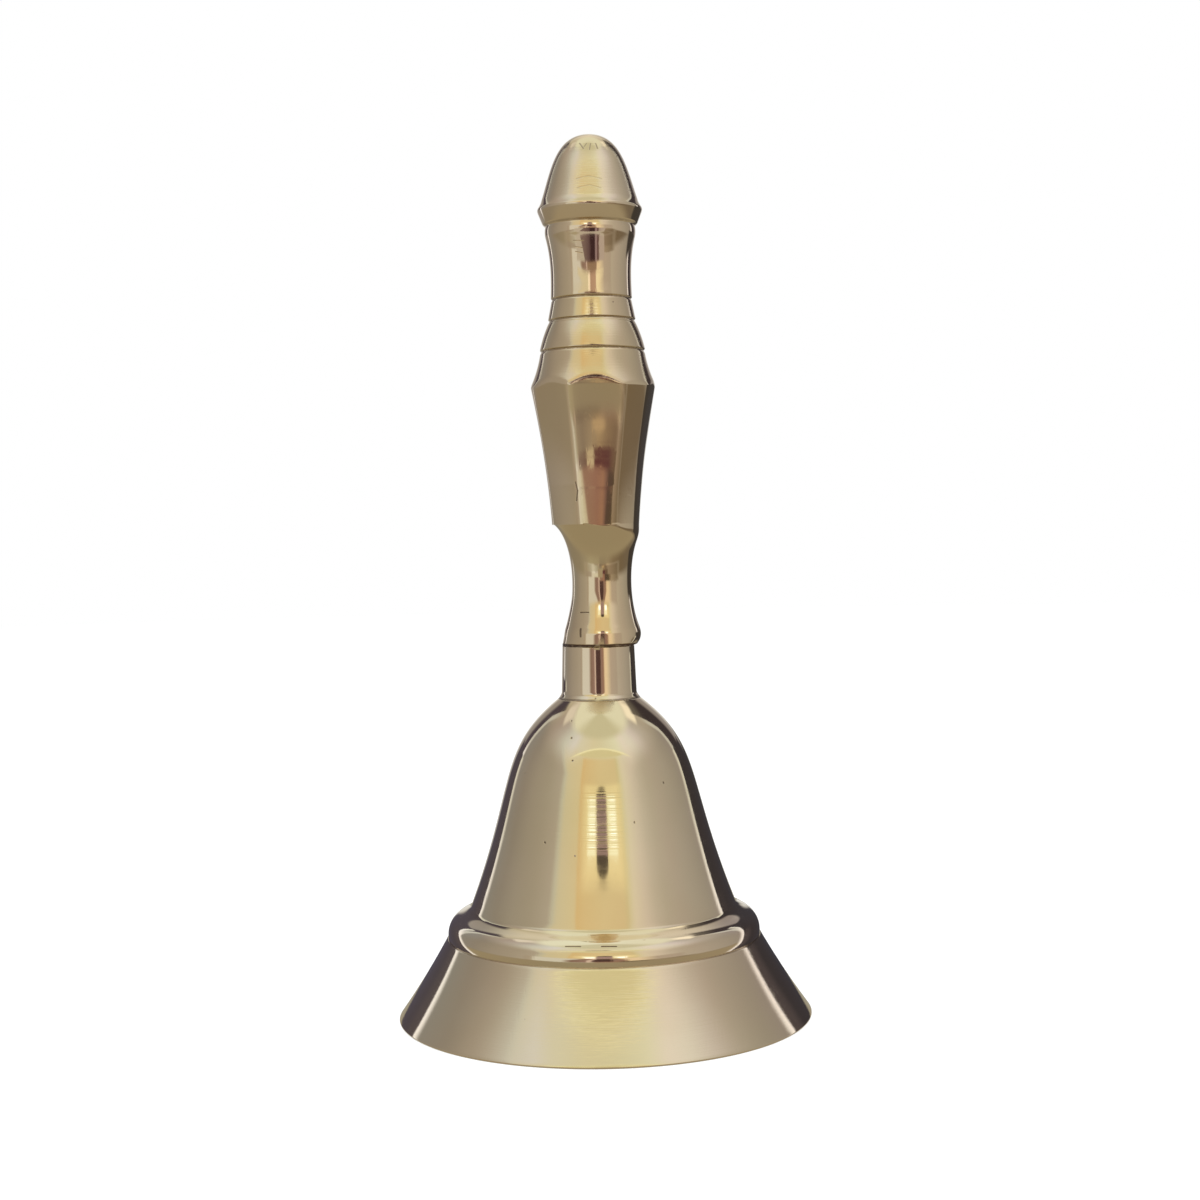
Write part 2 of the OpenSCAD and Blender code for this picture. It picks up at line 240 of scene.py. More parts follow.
@dataclass(frozen=True)
class Brass:
    """Polished brass with turning lines, tarnish in its grooves, painted shade in its joints and creases,
    scratches and small pits.

    seams: height, half width and strength, each tarnish in a groove or painted shade in a joint or crease.
    blemishes:
    start, end, half width and strength. zones: height and colour, a lighter band among them a painted
    highlight.
    turned: from, to, depth and fineness of turning lines. dull: from, to, half width and roughness.
    """

    name: str
    base: Colour = (0.80, 0.64, 0.42)
    deep: Colour = (0.72, 0.55, 0.33)
    tarnish_and_shade: Colour = (0.10, 0.055, 0.035)
    roughness: float = 0.07
    line_slope: float = 1.0
    scratch: float = 1.0
    seams: tuple[Place, ...] = ()
    blemishes: tuple[tuple[Place, Place, float, float], ...] = ()
    zones: tuple[Row, ...] = ()
    turned: tuple[Row, ...] = ()
    dull: tuple[Row, ...] = ()

    def material(self) -> bpy.types.Material:
        """Builds the material. Returns: it."""
        tree = Tree.material(self.name)
        place = tree.place()
        x, y, z = tree.axes(place)
        high = z * 1000.0
        fine = tree.noise(place, 900.0, 4.0, 0.6)
        dark = self._seams(z, fine).larger(self._marks(place)).larger(self._pits(place))
        # A lighter band among the zones is a painted highlight.
        base = high.ramp(*self.zones) if self.zones else self.base
        colour = tree.mix(tree.noise(place, 60.0, 3.0).rise(0.35, 0.65) * 0.35, base, self.deep)
        tints = tree.noise(place, 38.0, 2.0).ramp(
            (0.3, 62, 62, 36), (0.5, *(100 * part for part in self.base)), (0.7, 86, 58, 46), span=(0.0, 1.0),
        )
        # The dark mask is tarnish in grooves, pits and marks, and painted shade along the joints and creases
        # listed in seams.
        colour = tree.mix(dark, tree.mix(0.16, colour, tints), self.tarnish_and_shade)
        wipe = tree.noise(tree.node("CombineXYZ", None, x * 0.6, y * 0.6, z * 3.0), 220.0, 3.0)
        rough = self.roughness + wipe.rise(0.45, 0.8) * 0.05 + dark * 0.35
        for low, top, half, amount in self.dull:
            narrow = (x * 1000.0).abs().fall(half - 0.8, half + 0.8)
            rough = rough + high.band(low, top, 0.4) * narrow * amount
        normal = tree.bump(self._lines(x, y, z), 1e-6, self.line_slope)
        normal = tree.bump(self._scratches(place), 1.2e-6, self.scratch, normal)
        return tree.metal(colour, rough, tree.bump(1.0 - dark, 4e-5, 1.0, normal))

    def _lines(self, x: Sock, y: Sock, z: Sock) -> Sock:
        """Turning lines round the axis. Args: the three axes. Returns: a height."""
        tree = z.tree

        def rings(squash: float, *noise: float) -> Sock:
            """Noise drawn out round the axis. Args: squash, and the noise's own. Returns: 0 to 1."""
            return tree.noise(tree.node("CombineXYZ", None, x * squash, y * squash, z), *noise)

        total = rings(0.01, 2200.0, 4.0, 0.65) * 0.5 + rings(0.02, 500.0, 2.0) * 2.0
        for low, top, amount, fineness in self.turned:
            total = total + rings(0.01, fineness, 3.0, 0.6) * ((z * 1000.0).band(low, top, 0.8) * amount)
        return total

    @staticmethod
    def _scratches(place: Sock) -> Sock:
        """Fine hair scratches in three directions. Args: place. Returns: a height."""
        total = 0.0
        for turn in (0.5, 1.7, 2.6):
            along = place.tree.node(
                "Mapping", None, place, (0.0, 0.0, 0.0), (turn, turn * 0.7, turn * 1.3), (1.0, 0.06, 0.25)
            )
            total = place.tree.noise(along, 1500.0, 1.0).rise(0.66, 0.74) + total
        return 1.0 - total.clamp()

    def _seams(self, z: Sock, fine: Sock) -> Sock:
        """Tarnish left in grooves, and painted shade along joints and creases. Args: height, and a fine
        noise. Returns: a mask.
        """
        total = fine * 0.0
        waver = (fine - 0.5) * (0.16 * MM)
        for height, half, amount in self.seams:
            near = ((z + waver - height * MM) / (half * MM)).abs().fall(0.35, 1.0)
            total = total.larger(near * amount * fine.rise(0.15, 0.5))
        return total.clamp()

    def _marks(self, place: Sock) -> Sock:
        """The blemishes, each a soft line. Args: place. Returns: a mask."""
        tree = place.tree

        def vector(operation: str, *values: Sock | Place, **named: Sock) -> Sock:
            """Adds a Vector Math node. Args: operation and its values. Returns: its vector."""
            return tree.node("VectorMath", {"operation": operation}, *values, **named)

        total = place.tree.axes(place)[0] * 0.0
        for low, top, half, depth in self.blemishes:
            start = Vector(low) * MM
            along = Vector(top) * MM - start
            shift = vector("SUBTRACT", place, tuple(start))
            t = (vector("DOT_PRODUCT", shift, tuple(along / along.length)).at(1) / along.length).clamp()
            away = vector("DISTANCE", shift, vector("SCALE", tuple(along), Scale=t)).at(1)
            total = total.larger((away / (half * MM)).fall(0.3, 1.0) * depth)
        return total

    @staticmethod
    def _pits(place: Sock) -> Sock:
        """Sparse casting pits. Args: place. Returns: a mask."""
        cell = place.tree.node("TexVoronoi", Vector=place, Scale=260.0)
        return cell.fall(0.015, 0.06) * place.tree.axes(cell.at(1))[0].rise(0.80, 0.82)


@dataclass(frozen=True)
class Steel:
    """Drawn steel wire and turned steel, a little oxidised."""

    name: str
    base: Colour = (0.42, 0.42, 0.43)
    stain: Colour = (0.16, 0.11, 0.08)
    roughness: float = 0.32

    def material(self) -> bpy.types.Material:
        """Builds the material. Returns: it."""
        tree = Tree.material(self.name)
        place = tree.place()
        stain = tree.noise(place, 420.0, 5.0, 0.62).rise(0.52, 0.74)
        colour = tree.mix(stain * 0.75, self.base, self.stain)
        grain = tree.bump(tree.noise(place, 3000.0, 3.0), 8e-6, 0.6)
        return tree.metal(colour, self.roughness + stain * 0.3, grain)


# Shaping by hand


def smoothest(a: np.ndarray, b: np.ndarray, blend: float) -> np.ndarray:
    """The smaller of two lengths with a polished edge between them.

    Args: a and b, lengths, and blend, how broad the polished edge is. Returns: the blended lengths.
    """
    reach = np.maximum(blend - np.abs(a - b), 0.0) / blend
    return np.minimum(a, b) - reach * reach * blend * 0.25


def curve(a: Point, b: Point, c: Point, d: Point, steps: int) -> list[Point]:
    """Points along a cubic curve from a to d, drawn towards b and c.

    Args: its four points, and steps, how many pieces it has. Returns: the points, with both ends.
    """
    points = []
    for t in (i / steps for i in range(steps + 1)):
        s = 1.0 - t
        points.append(tuple(
            s ** 3 * a[k] + 3 * s * s * t * b[k] + 3 * s * t * t * c[k] + t ** 3 * d[k] for k in (0, 1)
        ))
    return points


def bowed(a: Point, b: Point, bow: float, steps: int) -> list[Point]:
    """Points along a shallow curve from a to b, its middle moved to its left.

    Args: a and b, bow, how far the middle is moved, and steps. Returns: the points, with both ends.
    """
    dx, dz = b[0] - a[0], b[1] - a[1]
    length = math.hypot(dx, dz)
    points = []
    for t in (i / steps for i in range(steps + 1)):
        off = 4.0 * bow * t * (1.0 - t) / length
        points.append((a[0] + t * dx - off * dz, a[1] + t * dz + off * dx))
    return points


def softened(line: list[Point], radius: float, bend: float = 12.0) -> list[Point]:
    """Rounds the corners of a line with small tangent arcs.

    Args: line, radius, how far from each corner its rounding starts, and bend: corners that turn less than
    this many degrees are left. Returns: the new line.
    """
    out = [line[0]]
    for before, here, after in zip(line, line[1:], line[2:]):
        p, q, r = (Vector(v) for v in (before, here, after))
        u, v = q - p, r - q
        if u.length < TINY or v.length < TINY:
            continue
        if math.degrees(u.angle(v)) < bend:
            out.append(here)
            continue
        cut = min(radius, 0.45 * u.length, 0.45 * v.length)
        a, b = q - u.normalized() * cut, q + v.normalized() * cut
        for t in (0.0, 0.25, 0.5, 0.75, 1.0):
            out.append(tuple(a * (1 - t) * (1 - t) + q * 2 * (1 - t) * t + b * t * t))
    return out + [line[-1]]


def evened(line: list[Point], longest: float) -> list[Point]:
    """Splits the long pieces of a line. Args: line, and longest, what a piece may be. Returns: the line."""
    out = [line[0]]
    for a, b in zip(line, line[1:]):
        parts = max(1, math.ceil(math.dist(a, b) / longest))
        out += [tuple(a[k] + (b[k] - a[k]) * i / parts for k in (0, 1)) for i in range(1, parts + 1)]
    return out


class Bench:
    """The workbench: makes, cleans and finishes pieces with Blender's own tools."""

    @staticmethod
    def pick(*pieces: Piece) -> None:
        """Selects pieces and nothing else, in object mode. Args: pieces, the active one first."""
        if bpy.context.object and bpy.context.object.mode != "OBJECT":
            bpy.ops.object.mode_set(mode="OBJECT")
        bpy.ops.object.select_all(action="DESELECT")
        for piece in pieces:
            piece.select_set(True)
        if pieces:
            bpy.context.view_layer.objects.active = pieces[0]

    @staticmethod
    def fresh(name: str) -> Piece:
        """Names what was just added and applies its place. Args: name. Returns: the object."""
        piece = bpy.context.object
        piece.name = name
        bpy.ops.object.transform_apply(location=True, rotation=True, scale=True)
        return piece

    @classmethod
    def strand(cls, name: str, line: list[Point]) -> Piece:
        """Extrudes a point along a line and stays in edit mode.

        Args: name, and line, radius and height of each point in millimetres. Returns: the object.
        """
        cls.pick()
        bpy.ops.mesh.primitive_plane_add(size=0.001, location=(line[0][0] * MM, 0.0, line[0][1] * MM))
        piece = cls.fresh(name)
        bpy.ops.object.mode_set(mode="EDIT")
        bpy.ops.mesh.select_all(action="SELECT")
        bpy.ops.mesh.merge(type="CENTER")
        for (r0, z0), (r1, z1) in zip(line, line[1:]):
            step = ((r1 - r0) * MM, 0.0, (z1 - z0) * MM)
            bpy.ops.mesh.extrude_region_move(TRANSFORM_OT_translate={"value": step})
        return piece

    @staticmethod
    def close() -> None:
        """Merges doubled points, turns the faces outwards and leaves edit mode."""
        bpy.ops.mesh.select_all(action="SELECT")
        bpy.ops.mesh.remove_doubles(threshold=MERGE)
        bpy.ops.mesh.normals_make_consistent(inside=False)
        bpy.ops.object.mode_set(mode="OBJECT")

    @classmethod
    def turned(cls, name: str, line: list[Point], steps: int) -> Piece:
        """Turns an outline round the axis.

        Args: name, line, radius and height of each point in millimetres, and steps, how many facets go round.
        Returns: the piece, with its seam merged and its faces outwards.
        """
        piece = cls.strand(name, line)
        bpy.ops.mesh.select_all(action="SELECT")
        bpy.ops.mesh.spin(steps=steps, angle=TURN, center=(0, 0, 0), axis=(0, 0, 1))
        cls.close()
        return piece

    @staticmethod
    def points(piece: Piece) -> np.ndarray:
        """Reads the vertices of a piece. Args: piece. Returns: them, in millimetres."""
        got = np.empty(len(piece.data.vertices) * 3)
        piece.data.vertices.foreach_get("co", got)
        return got.reshape(-1, 3) / MM

    @staticmethod
    def reshape(piece: Piece, points: np.ndarray) -> None:
        """Moves the vertices of a piece. Args: piece, and points, their new places in millimetres."""
        piece.data.vertices.foreach_set("co", (points * MM).ravel())
        piece.data.update()

    @classmethod
    def finish(cls, piece: Piece, smooth: float, body: Body, slot: Slot, replaces: str,
               *materials: bpy.types.Material) -> Piece:
        """Applies the place, smooths the shading and hands the piece to its body.

        Args:
            piece: the piece.
            smooth: edges that turn more than this many degrees stay sharp.
            body: the body that it rides on.
            slot: the material slot that it stands for; not used.
            replaces: the CAD node that it stands for.
            materials: its materials.

        Returns:
            The piece.
        """
        cls.pick(piece)
        bpy.ops.object.transform_apply(location=True, rotation=True, scale=True)
        bpy.ops.object.shade_smooth_by_angle(angle=math.radians(smooth))
        piece.data.materials.clear()
        for made in materials:
            piece.data.materials.append(made)
        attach(piece, body.value)
        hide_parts(replaces)
        LOG.info("%s: %d faces on %s", piece.name, len(piece.data.polygons), body.value)
        return piece

    @classmethod
    def modifier(cls, piece: Piece, kind: str, **settings: object) -> None:
        """Adds one modifier and applies it. Args: piece, kind and its settings."""
        cls.pick(piece)
        mod = piece.modifiers.new(kind.title(), kind)
        for key, value in settings.items():
            setattr(mod, key, value)
        bpy.ops.object.modifier_apply(modifier=mod.name)

    @classmethod
    def join(cls, name: str, *pieces: Piece) -> Piece:
        """Joins pieces into one. Args: name and pieces. Returns: the joined piece."""
        cls.pick(*pieces)
        bpy.ops.object.join()
        pieces[0].name = name
        return pieces[0]

    @classmethod
    def ring(cls, name: str, mean_r: float, wire_r: float, height: float, turn: float,
             around: int = 96) -> Piece:
        """A standing wire ring.

        Args: name, radii and height in millimetres, its turn about the axis, and its facets. Returns: it.
        """
        cls.pick()
        bpy.ops.mesh.primitive_torus_add(
            location=(0, 0, height * MM), rotation=(QUARTER, 0, turn), major_segments=around,
            minor_segments=24, major_radius=mean_r * MM, minor_radius=wire_r * MM,
        )
        return cls.fresh(name)


# The bell


@dataclass
class BellShell:
    """The turned bell: mouth, skirt, half round moulding, body, crown and neck."""

    mouth_r: float = 32.8
    lip_edge: float = 0.25
    skirt_h: float = 12.6
    skirt_top_r: float = 24.95
    skirt_hollow: float = 0.22
    wall_t: float = 2.0
    moulding_r: float = 3.4
    moulding_back: float = 0.12
    moulding_lift: float = 0.7
    moulding_end: float = 54.0
    fillet_up: float = 0.9
    fillet_in: float = 0.35
    fillet_pull: float = 0.8
    shell_h: float = 50.3
    crown_t: float = 4.0
    flare: Point = (7.6, 19.8)
    shoulder: Point = (10.0, 7.9)
    neck_ring_r: float = 6.5
    neck_ring_h: float = 0.7
    neck_foot_r: float = 6.0
    neck_top_r: float = 5.75
    neck_h: float = 7.8
    bore_r: float = 2.2
    softness: float = 0.10
    longest: float = 1.2
    facets: int = 256
    outside: Brass = field(default_factory=lambda: Brass(
        "bell_brass", roughness=0.06, line_slope=1.0, scratch=0.8,
        # The seam lines at 12.62 mm, the crease between skirt and moulding, and at 58.75 mm, the joint under
        # the handle, are painted shade.
        seams=((12.62, 0.14, 0.22), (50.35, 0.22, 0.6), (58.75, 0.2, 0.9)),
        turned=((0.3, 12.4, 7.0, 9000.0), (28.6, 37.0, 22.0, 2400.0)),
        dull=((48.6, 50.3, 2.2, 0.24),),
        # The lighter band from 15.6 to 16.4 mm, round the top of the moulding, is a painted highlight: the
        # bright line where the moulding meets the body.
        zones=(
            (0, 80, 64, 42), (14.9, 80, 64, 42), (15.6, 87, 72, 53), (16.4, 87, 73, 54), (17.2, 80, 64, 42),
            (60, 80, 64, 42),
        ),
        blemishes=(
            ((-5.75, -23.21, 15.62), (-3.53, -23.61, 15.66), 0.13, 0.85),
            ((-0.43, -23.88, 15.66), (1.78, -23.86, 15.61), 0.15, 0.9),
            ((-8.6, -21.5, 16.15), (-2.6, -23.0, 16.2), 0.09, 0.45),
            ((-2.0, -23.1, 16.2), (6.0, -22.4, 16.15), 0.09, 0.4),
            ((-8.8, -14.65, 29.7), (-8.7, -14.7, 29.6), 0.22, 0.8),
            ((9.61, -11.29, 38.0), (9.65, -11.3, 37.9), 0.22, 0.7),
            ((-4.41, -8.53, 47.5), (-4.42, -8.6, 47.4), 0.18, 0.6),
            ((-4.43, -10.72, 45.1), (-4.43, -10.8, 45.0), 0.2, 0.7),
            ((4.95, -15.53, 32.6), (4.97, -15.55, 32.5), 0.18, 0.6),
        ),
    ))
    inside: Brass = field(default_factory=lambda: Brass(
        "bell_inside", base=(0.36, 0.26, 0.15), deep=(0.22, 0.15, 0.085), roughness=0.42, line_slope=4.0,
        scratch=1.5,
    ))

    @property
    def seam_z(self) -> float:
        """Height of the seam under the handle."""
        return self.shell_h + self.neck_ring_h + self.neck_h

    @property
    def mid_r(self) -> float:
        """Radius of the middle of the moulding."""
        return self.skirt_top_r - self.moulding_back - self.moulding_r

    def _skirt(self, steps: int) -> list[Point]:
        """The outside of the skirt, from the lip up. Args: steps. Returns: its points."""
        top = (self.skirt_top_r, self.skirt_h)
        return bowed((self.mouth_r, self.lip_edge), top, self.skirt_hollow, steps)

    def _body(self, steps: int) -> list[Point]:
        """The outside of the body, from the fillet to the neck's ring. Args: steps. Returns: its points."""
        moulding_top = self.skirt_h + self.moulding_lift + self.moulding_r
        low = (self.mid_r - self.fillet_in, moulding_top + self.fillet_up)
        top = (self.neck_ring_r, self.shell_h)
        return curve(
            low, (low[0] - self.flare[0], low[1] + self.flare[1]),
            (top[0] + self.shoulder[0], top[1] - self.shoulder[1]), top, steps,
        )

    def _moulding(self) -> list[Point]:
        """The half round moulding and its fillet into the body. Returns: its points."""
        mid = (self.mid_r, self.skirt_h + self.moulding_lift)
        start = -math.asin(self.moulding_lift / self.moulding_r)
        end = math.radians(self.moulding_end)
        arc = [
            (mid[0] + self.moulding_r * math.cos(a), mid[1] + self.moulding_r * math.sin(a))
            for a in np.linspace(start, end, 22)
        ]
        low = self._body(1)[0]
        pull = Vector((-self.flare[0], self.flare[1])).normalized() * self.fillet_pull
        top = arc[-1]
        fillet = curve(
            top, (top[0] - self.fillet_pull * math.sin(end), top[1] + self.fillet_pull * math.cos(end)),
            (low[0] - pull.x, low[1] - pull.y), low, 12,
        )
        return arc + fillet[1:]

    def outline(self) -> list[Point]:
        """The whole section, from the crown's inside round the mouth and up to the bore. Returns: it."""
        skirt = self._skirt(26)
        past = (2 * skirt[0][0] - skirt[1][0] + 0.9, 2 * skirt[0][1] - skirt[1][1] - 1.4)
        shell = [past] + self._skirt(12) + self._body(40)
        inner = []
        for i, point in enumerate(shell):
            a, b = shell[max(i - 1, 0)], shell[min(i + 1, len(shell) - 1)]
            dx, dz = b[0] - a[0], b[1] - a[1]
            length = math.hypot(dx, dz)
            inner.append((point[0] - self.wall_t * dz / length, point[1] + self.wall_t * dx / length))
        ceiling = self.shell_h - self.crown_t
        inner = [p for p in inner if 0.0 < p[1] < ceiling]
        slope = (inner[1][0] - inner[0][0]) / (inner[1][1] - inner[0][1])
        rim = (inner[0][0] - slope * inner[0][1], 0.0)
        ring_z = self.shell_h + self.neck_ring_h
        outside = softened(
            [rim, (self.mouth_r - self.lip_edge, 0.0)] + skirt + self._moulding() + self._body(56)[1:]
            + [(self.neck_foot_r + 0.06, ring_z)]
            + bowed((self.neck_foot_r, ring_z + 0.25), (self.neck_top_r, self.seam_z - 0.12), 0.0, 14)
            + [(self.neck_top_r - 0.12, self.seam_z), (self.bore_r, self.seam_z)],
            self.softness,
        )
        top_in = inner[-1]
        return (
            [(self.bore_r, self.seam_z), (self.bore_r, ceiling), (top_in[0] - 0.4, ceiling)]
            + list(reversed(inner))
            + evened(outside, self.longest)
        )

    def build(self) -> Piece:
        """Turns the bell and gives its inside its own finish. Returns: the piece."""
        piece = Bench.turned("bell_turned", self.outline(), self.facets)
        finishes = self.outside.material(), self.inside.material()
        Bench.finish(piece, 50.0, Body.BELL, Slot.BELL, "bell", *finishes)
        for face in piece.data.polygons:
            mid = Vector(face.center)
            out = Vector((mid.x, mid.y, 0.0))
            inward = out.length > TINY and face.normal.dot(out.normalized()) < -0.05
            ceiling = face.normal.z < -0.5 and mid.z > 0.005
            if (inward or ceiling) and mid.z < (self.seam_z - 1.0) * MM:
                face.material_index = 1
        return piece


# The handle


@dataclass
class Facet:
    """One ground facet: its direction, and how deep it is ground at the shoulder and at the foot."""

    direction: float
    top: float
    foot: float


@dataclass
class GroundHandle:
    """The turned and hand ground handle: foot bead, waist, ground body, collars, grip, flange and finial."""

    seam_z: float = 58.8
    neck_top_r: float = 5.75
    waist_shift: float = 0.76
    foot_bead_r: float = 6.14
    foot_bead_h: float = 1.8
    foot_h: float = 2.9
    foot_undercut: float = 0.7
    waist_low_r: float = 5.85
    waist_low: Point = (1.9, 4.9)
    waist_h: float = 16.3
    waist_top: Point = (3.0, 2.5)
    body_foot_r: float = 7.45
    shoulder_r: float = 10.15
    body_h: float = 21.8
    wheel_r: float = 130.0
    shoulder_h: float = 5.8
    shoulder_hollow: float = 0.2
    collar_r: float = 8.4
    collar_h: float = 4.9
    collar_round: float = 0.12
    collar_step_r: float = 7.0
    upper_collar_h: float = 3.4
    grip_r: float = 6.5
    grip_h: float = 11.9
    grip_top_r: float = 7.6
    grip_in: float = 0.15
    grip_pull: float = 4.4
    groove_d: float = 0.22
    groove_w: float = 0.4
    lip_h: float = 2.0
    lip: tuple[Point, ...] = (
        (0.0, 0.0), (0.14, 0.055), (0.3, 0.095), (0.48, 0.11), (0.66, 0.09), (0.8, 0.04), (0.9, -0.03),
    )
    flange_r: float = 8.4
    flange_up: float = 2.4
    flange_top: float = 1.0
    finial_r: float = 7.9
    finial_h: float = 11.1
    finial_in: float = 1.8
    finial_up: float = 5.4
    finial_top: float = 5.4
    bore_r: float = 2.05
    bore_h: float = 3.0
    run_out: float = 4.0
    body_steps: int = 118
    edge: float = 0.34
    crown_r: Point = (15.0, 40.0)
    facet_half: float = 4.5
    facet_reach: float = 1.2
    foot_draft: float = 0.07
    rolled: Point = (0.72, 0.26)
    foot_blend: float = 0.25
    facets: int = 240
    ground: tuple[Facet, ...] = (
        Facet(1.5, 1.05, 0.95), Facet(44, 0.1, 0.9), Facet(80, 0.6, 1.1), Facet(135, 0.4, 1.35),
        Facet(180, 0.9, 1.05), Facet(225, 0.7, 1.0), Facet(270, 0.2, 0.8), Facet(315, 0.85, 1.0),
    )
    brass: Brass = field(default_factory=lambda: Brass(
        "handle_brass", roughness=0.055, line_slope=0.7, scratch=1.2,
        # The seam line at 58.95 mm, the joint where the handle sits on the bell, is painted shade; the others
        # are tarnish in the grooves.
        seams=(
            (58.95, 0.22, 1.0), (105.6, 0.2, 0.4), (110.5, 0.2, 0.4), (113.9, 0.2, 0.5), (125.8, 0.18, 0.3),
        ),
        turned=((129.8, 139.4, 22.0, 9000.0), (100.4, 113.6, 16.0, 9000.0)),
        blemishes=(
            ((-3.06, -7.05, 84.6), (-2.77, -7.05, 83.3), 0.15, 0.7),
            ((-2.77, -7.05, 83.3), (-2.96, -6.82, 81.7), 0.17, 0.75),
            ((-2.72, -3.83, 64.08), (-1.45, -4.67, 64.1), 0.16, 0.8),
            ((-2.76, -4.77, 61.5), (-2.78, -4.97, 60.4), 0.3, 0.8),
            ((-2.62, -6.35, 122.5), (-1.05, -6.77, 122.4), 0.09, 0.55),
            ((-2.64, -6.18, 121.6), (-1.23, -6.57, 121.3), 0.08, 0.5),
            ((-2.34, -6.19, 120.8), (-1.25, -6.47, 120.5), 0.08, 0.45),
            ((-1.38, -4.28, 138.1), (-0.77, -5.06, 137.1), 0.16, 0.5),
            ((-0.28, -4.55, 138.0), (-0.77, -5.06, 137.3), 0.14, 0.5),
            ((0.35, -4.55, 138.0), (0.17, -5.23, 136.9), 0.14, 0.5),
            ((1.14, -4.41, 138.0), (1.44, -4.92, 137.1), 0.16, 0.5),
            ((-1.95, -6.72, 132.1), (-0.07, -6.88, 132.5), 0.16, 0.22),
            ((-0.07, -6.88, 132.5), (1.96, -6.75, 132.0), 0.16, 0.22),
            ((-1.82, -7.23, 130.6), (0.06, -7.33, 131.0), 0.16, 0.2),
            ((0.06, -7.33, 131.0), (1.77, -7.26, 130.5), 0.16, 0.2),
        ),
        # The lighter tone from 129.5 mm up, on the flange and finial, is a painted highlight.
        zones=(
            (58, 79, 61, 36), (79, 79, 61, 37), (84, 80, 62, 40), (98, 80, 62, 39), (102, 79, 61, 37),
            (125, 79, 61, 38), (129.5, 81, 65, 43), (141, 81, 65, 43),
        ),
    ))

    @property
    def waist_z(self) -> float:
        """Height where the waist leaves the foot."""
        return self.seam_z + self.foot_h

    @property
    def body_z(self) -> float:
        """Height of the ground body's foot."""
        return self.waist_z + self.waist_h

    @property
    def shoulder_z(self) -> float:
        """Height of the shoulder."""
        return self.body_z + self.body_h

    @property
    def collar_z(self) -> float:
        """Height of the lower collar's foot."""
        return self.shoulder_z + self.shoulder_h

    def _waist_line(self) -> list[Point]:
        """Foot bead and waist about their own axis, from the seam up. Returns: the points."""
        bulge = self.foot_bead_r + 0.1
        low = (self.waist_low_r, self.waist_z)
        top = (self.body_foot_r, self.body_z)
        foot = curve(
            (self.foot_bead_r - self.foot_undercut, self.seam_z), (bulge, self.seam_z + self.foot_bead_h / 2),
            (bulge, self.seam_z + self.foot_bead_h), low, 22,
        )
        hollow = curve(
            low, (low[0] - self.waist_low[0], low[1] + self.waist_low[1]),
            (top[0] - self.waist_top[0], top[1] - self.waist_top[1]), top, 72,
        )
        return foot + hollow[1:]

    def _groove(self, r: float, z: float) -> list[Point]:
        """A small V groove, its lower lip rolled over. Args: radius and height. Returns: its points."""
        half = self.groove_w / 2
        return [
            (r - 0.01, z - half - 0.42), (r - 0.05, z - half - 0.16), (r - 0.12, z - half),
            (r - self.groove_d, z), (r, z + half),
        ]

    def _lip(self, grip: list[Point], top: float) -> list[Point]:
        """Rolls the top of the grip outwards into a soft lip under the flange.

        Args: grip, its outline from its foot up, and top, height of the groove over it. Returns: the outline.
        """
        low = top - self.lip_h
        kept = [p for p in grip if p[1] < low]
        r, z = kept[-1]
        r += (low - z) * 0.26
        return kept + [(r + out, low + rise * self.lip_h) for rise, out in self.lip]

    def _upper_line(self) -> list[Point]:
        """Everything above the shoulder, up to the top. Returns: the points."""
        w = self.groove_w
        step_z = self.collar_z + self.collar_h
        grip_z = step_z + self.upper_collar_h
        grip_top = grip_z + self.grip_h
        flange_z = grip_top + self.flange_up
        finial_z = flange_z + self.flange_top
        apex = finial_z + self.finial_h
        cone_foot, cone_top = (self.shoulder_r, self.shoulder_z), (self.collar_r, self.collar_z - w)
        cone = bowed(cone_foot, cone_top, self.shoulder_hollow, 28)
        step = (self.collar_step_r, step_z - w)
        collar = bowed((self.collar_r, self.collar_z + w), step, -self.collar_round, 8)
        grip = curve(
            (self.grip_r, grip_z + w), (self.grip_r - self.grip_in, grip_z + self.grip_pull),
            (self.grip_r - self.grip_in, grip_top - self.grip_pull), (self.grip_top_r, grip_top - w), 26,
        )
        rim = [
            (self.flange_r - 0.1, flange_z - 0.45), (self.flange_r - 0.01, flange_z - 0.16),
            (self.flange_r, flange_z + 0.06), (self.flange_r - 0.06, flange_z + 0.24),
            (self.flange_r - 0.17, flange_z + 0.42),
        ]
        finial = curve(
            (self.finial_r, finial_z), (self.finial_r - self.finial_in, finial_z + self.finial_up),
            (self.finial_top, apex), (0.0, apex), 30,
        )
        line = (
            cone + self._groove(self.collar_r, self.collar_z) + collar
            + self._groove(self.collar_step_r, step_z) + self._groove(self.grip_r, grip_z)
            + self._lip(grip, grip_top) + [(self.grip_top_r - self.groove_d, grip_top)]
            + [(self.grip_top_r, grip_top + w / 2)] + rim + finial
        )
        return softened(line, 0.09)

    def outline(self) -> list[Point]:
        """The turned blank, from the bore round the seam and up to the apex. Returns: the points."""
        shoulder = (self.shoulder_r, self.shoulder_z)
        body = bowed((self.body_foot_r, self.body_z), shoulder, 0.0, self.body_steps)
        return (
            [(self.bore_r, self.seam_z + self.bore_h), (self.bore_r, self.seam_z)] + self._waist_line()
            + [(self.body_foot_r, self.body_z + 0.02)] + body[1:] + self._upper_line()[1:]
        )

    def _waist_radius(self, angle: np.ndarray, z: np.ndarray) -> np.ndarray:
        """How far out the waist, which is cast off the axis, stands in each direction.

        Args: angle, direction of each point from +X in radians, and z, its height. Returns: its distance from
        the handle's own axis.
        """
        line = np.array(self._waist_line())
        radius = np.interp(z, line[:, 1], line[:, 0])
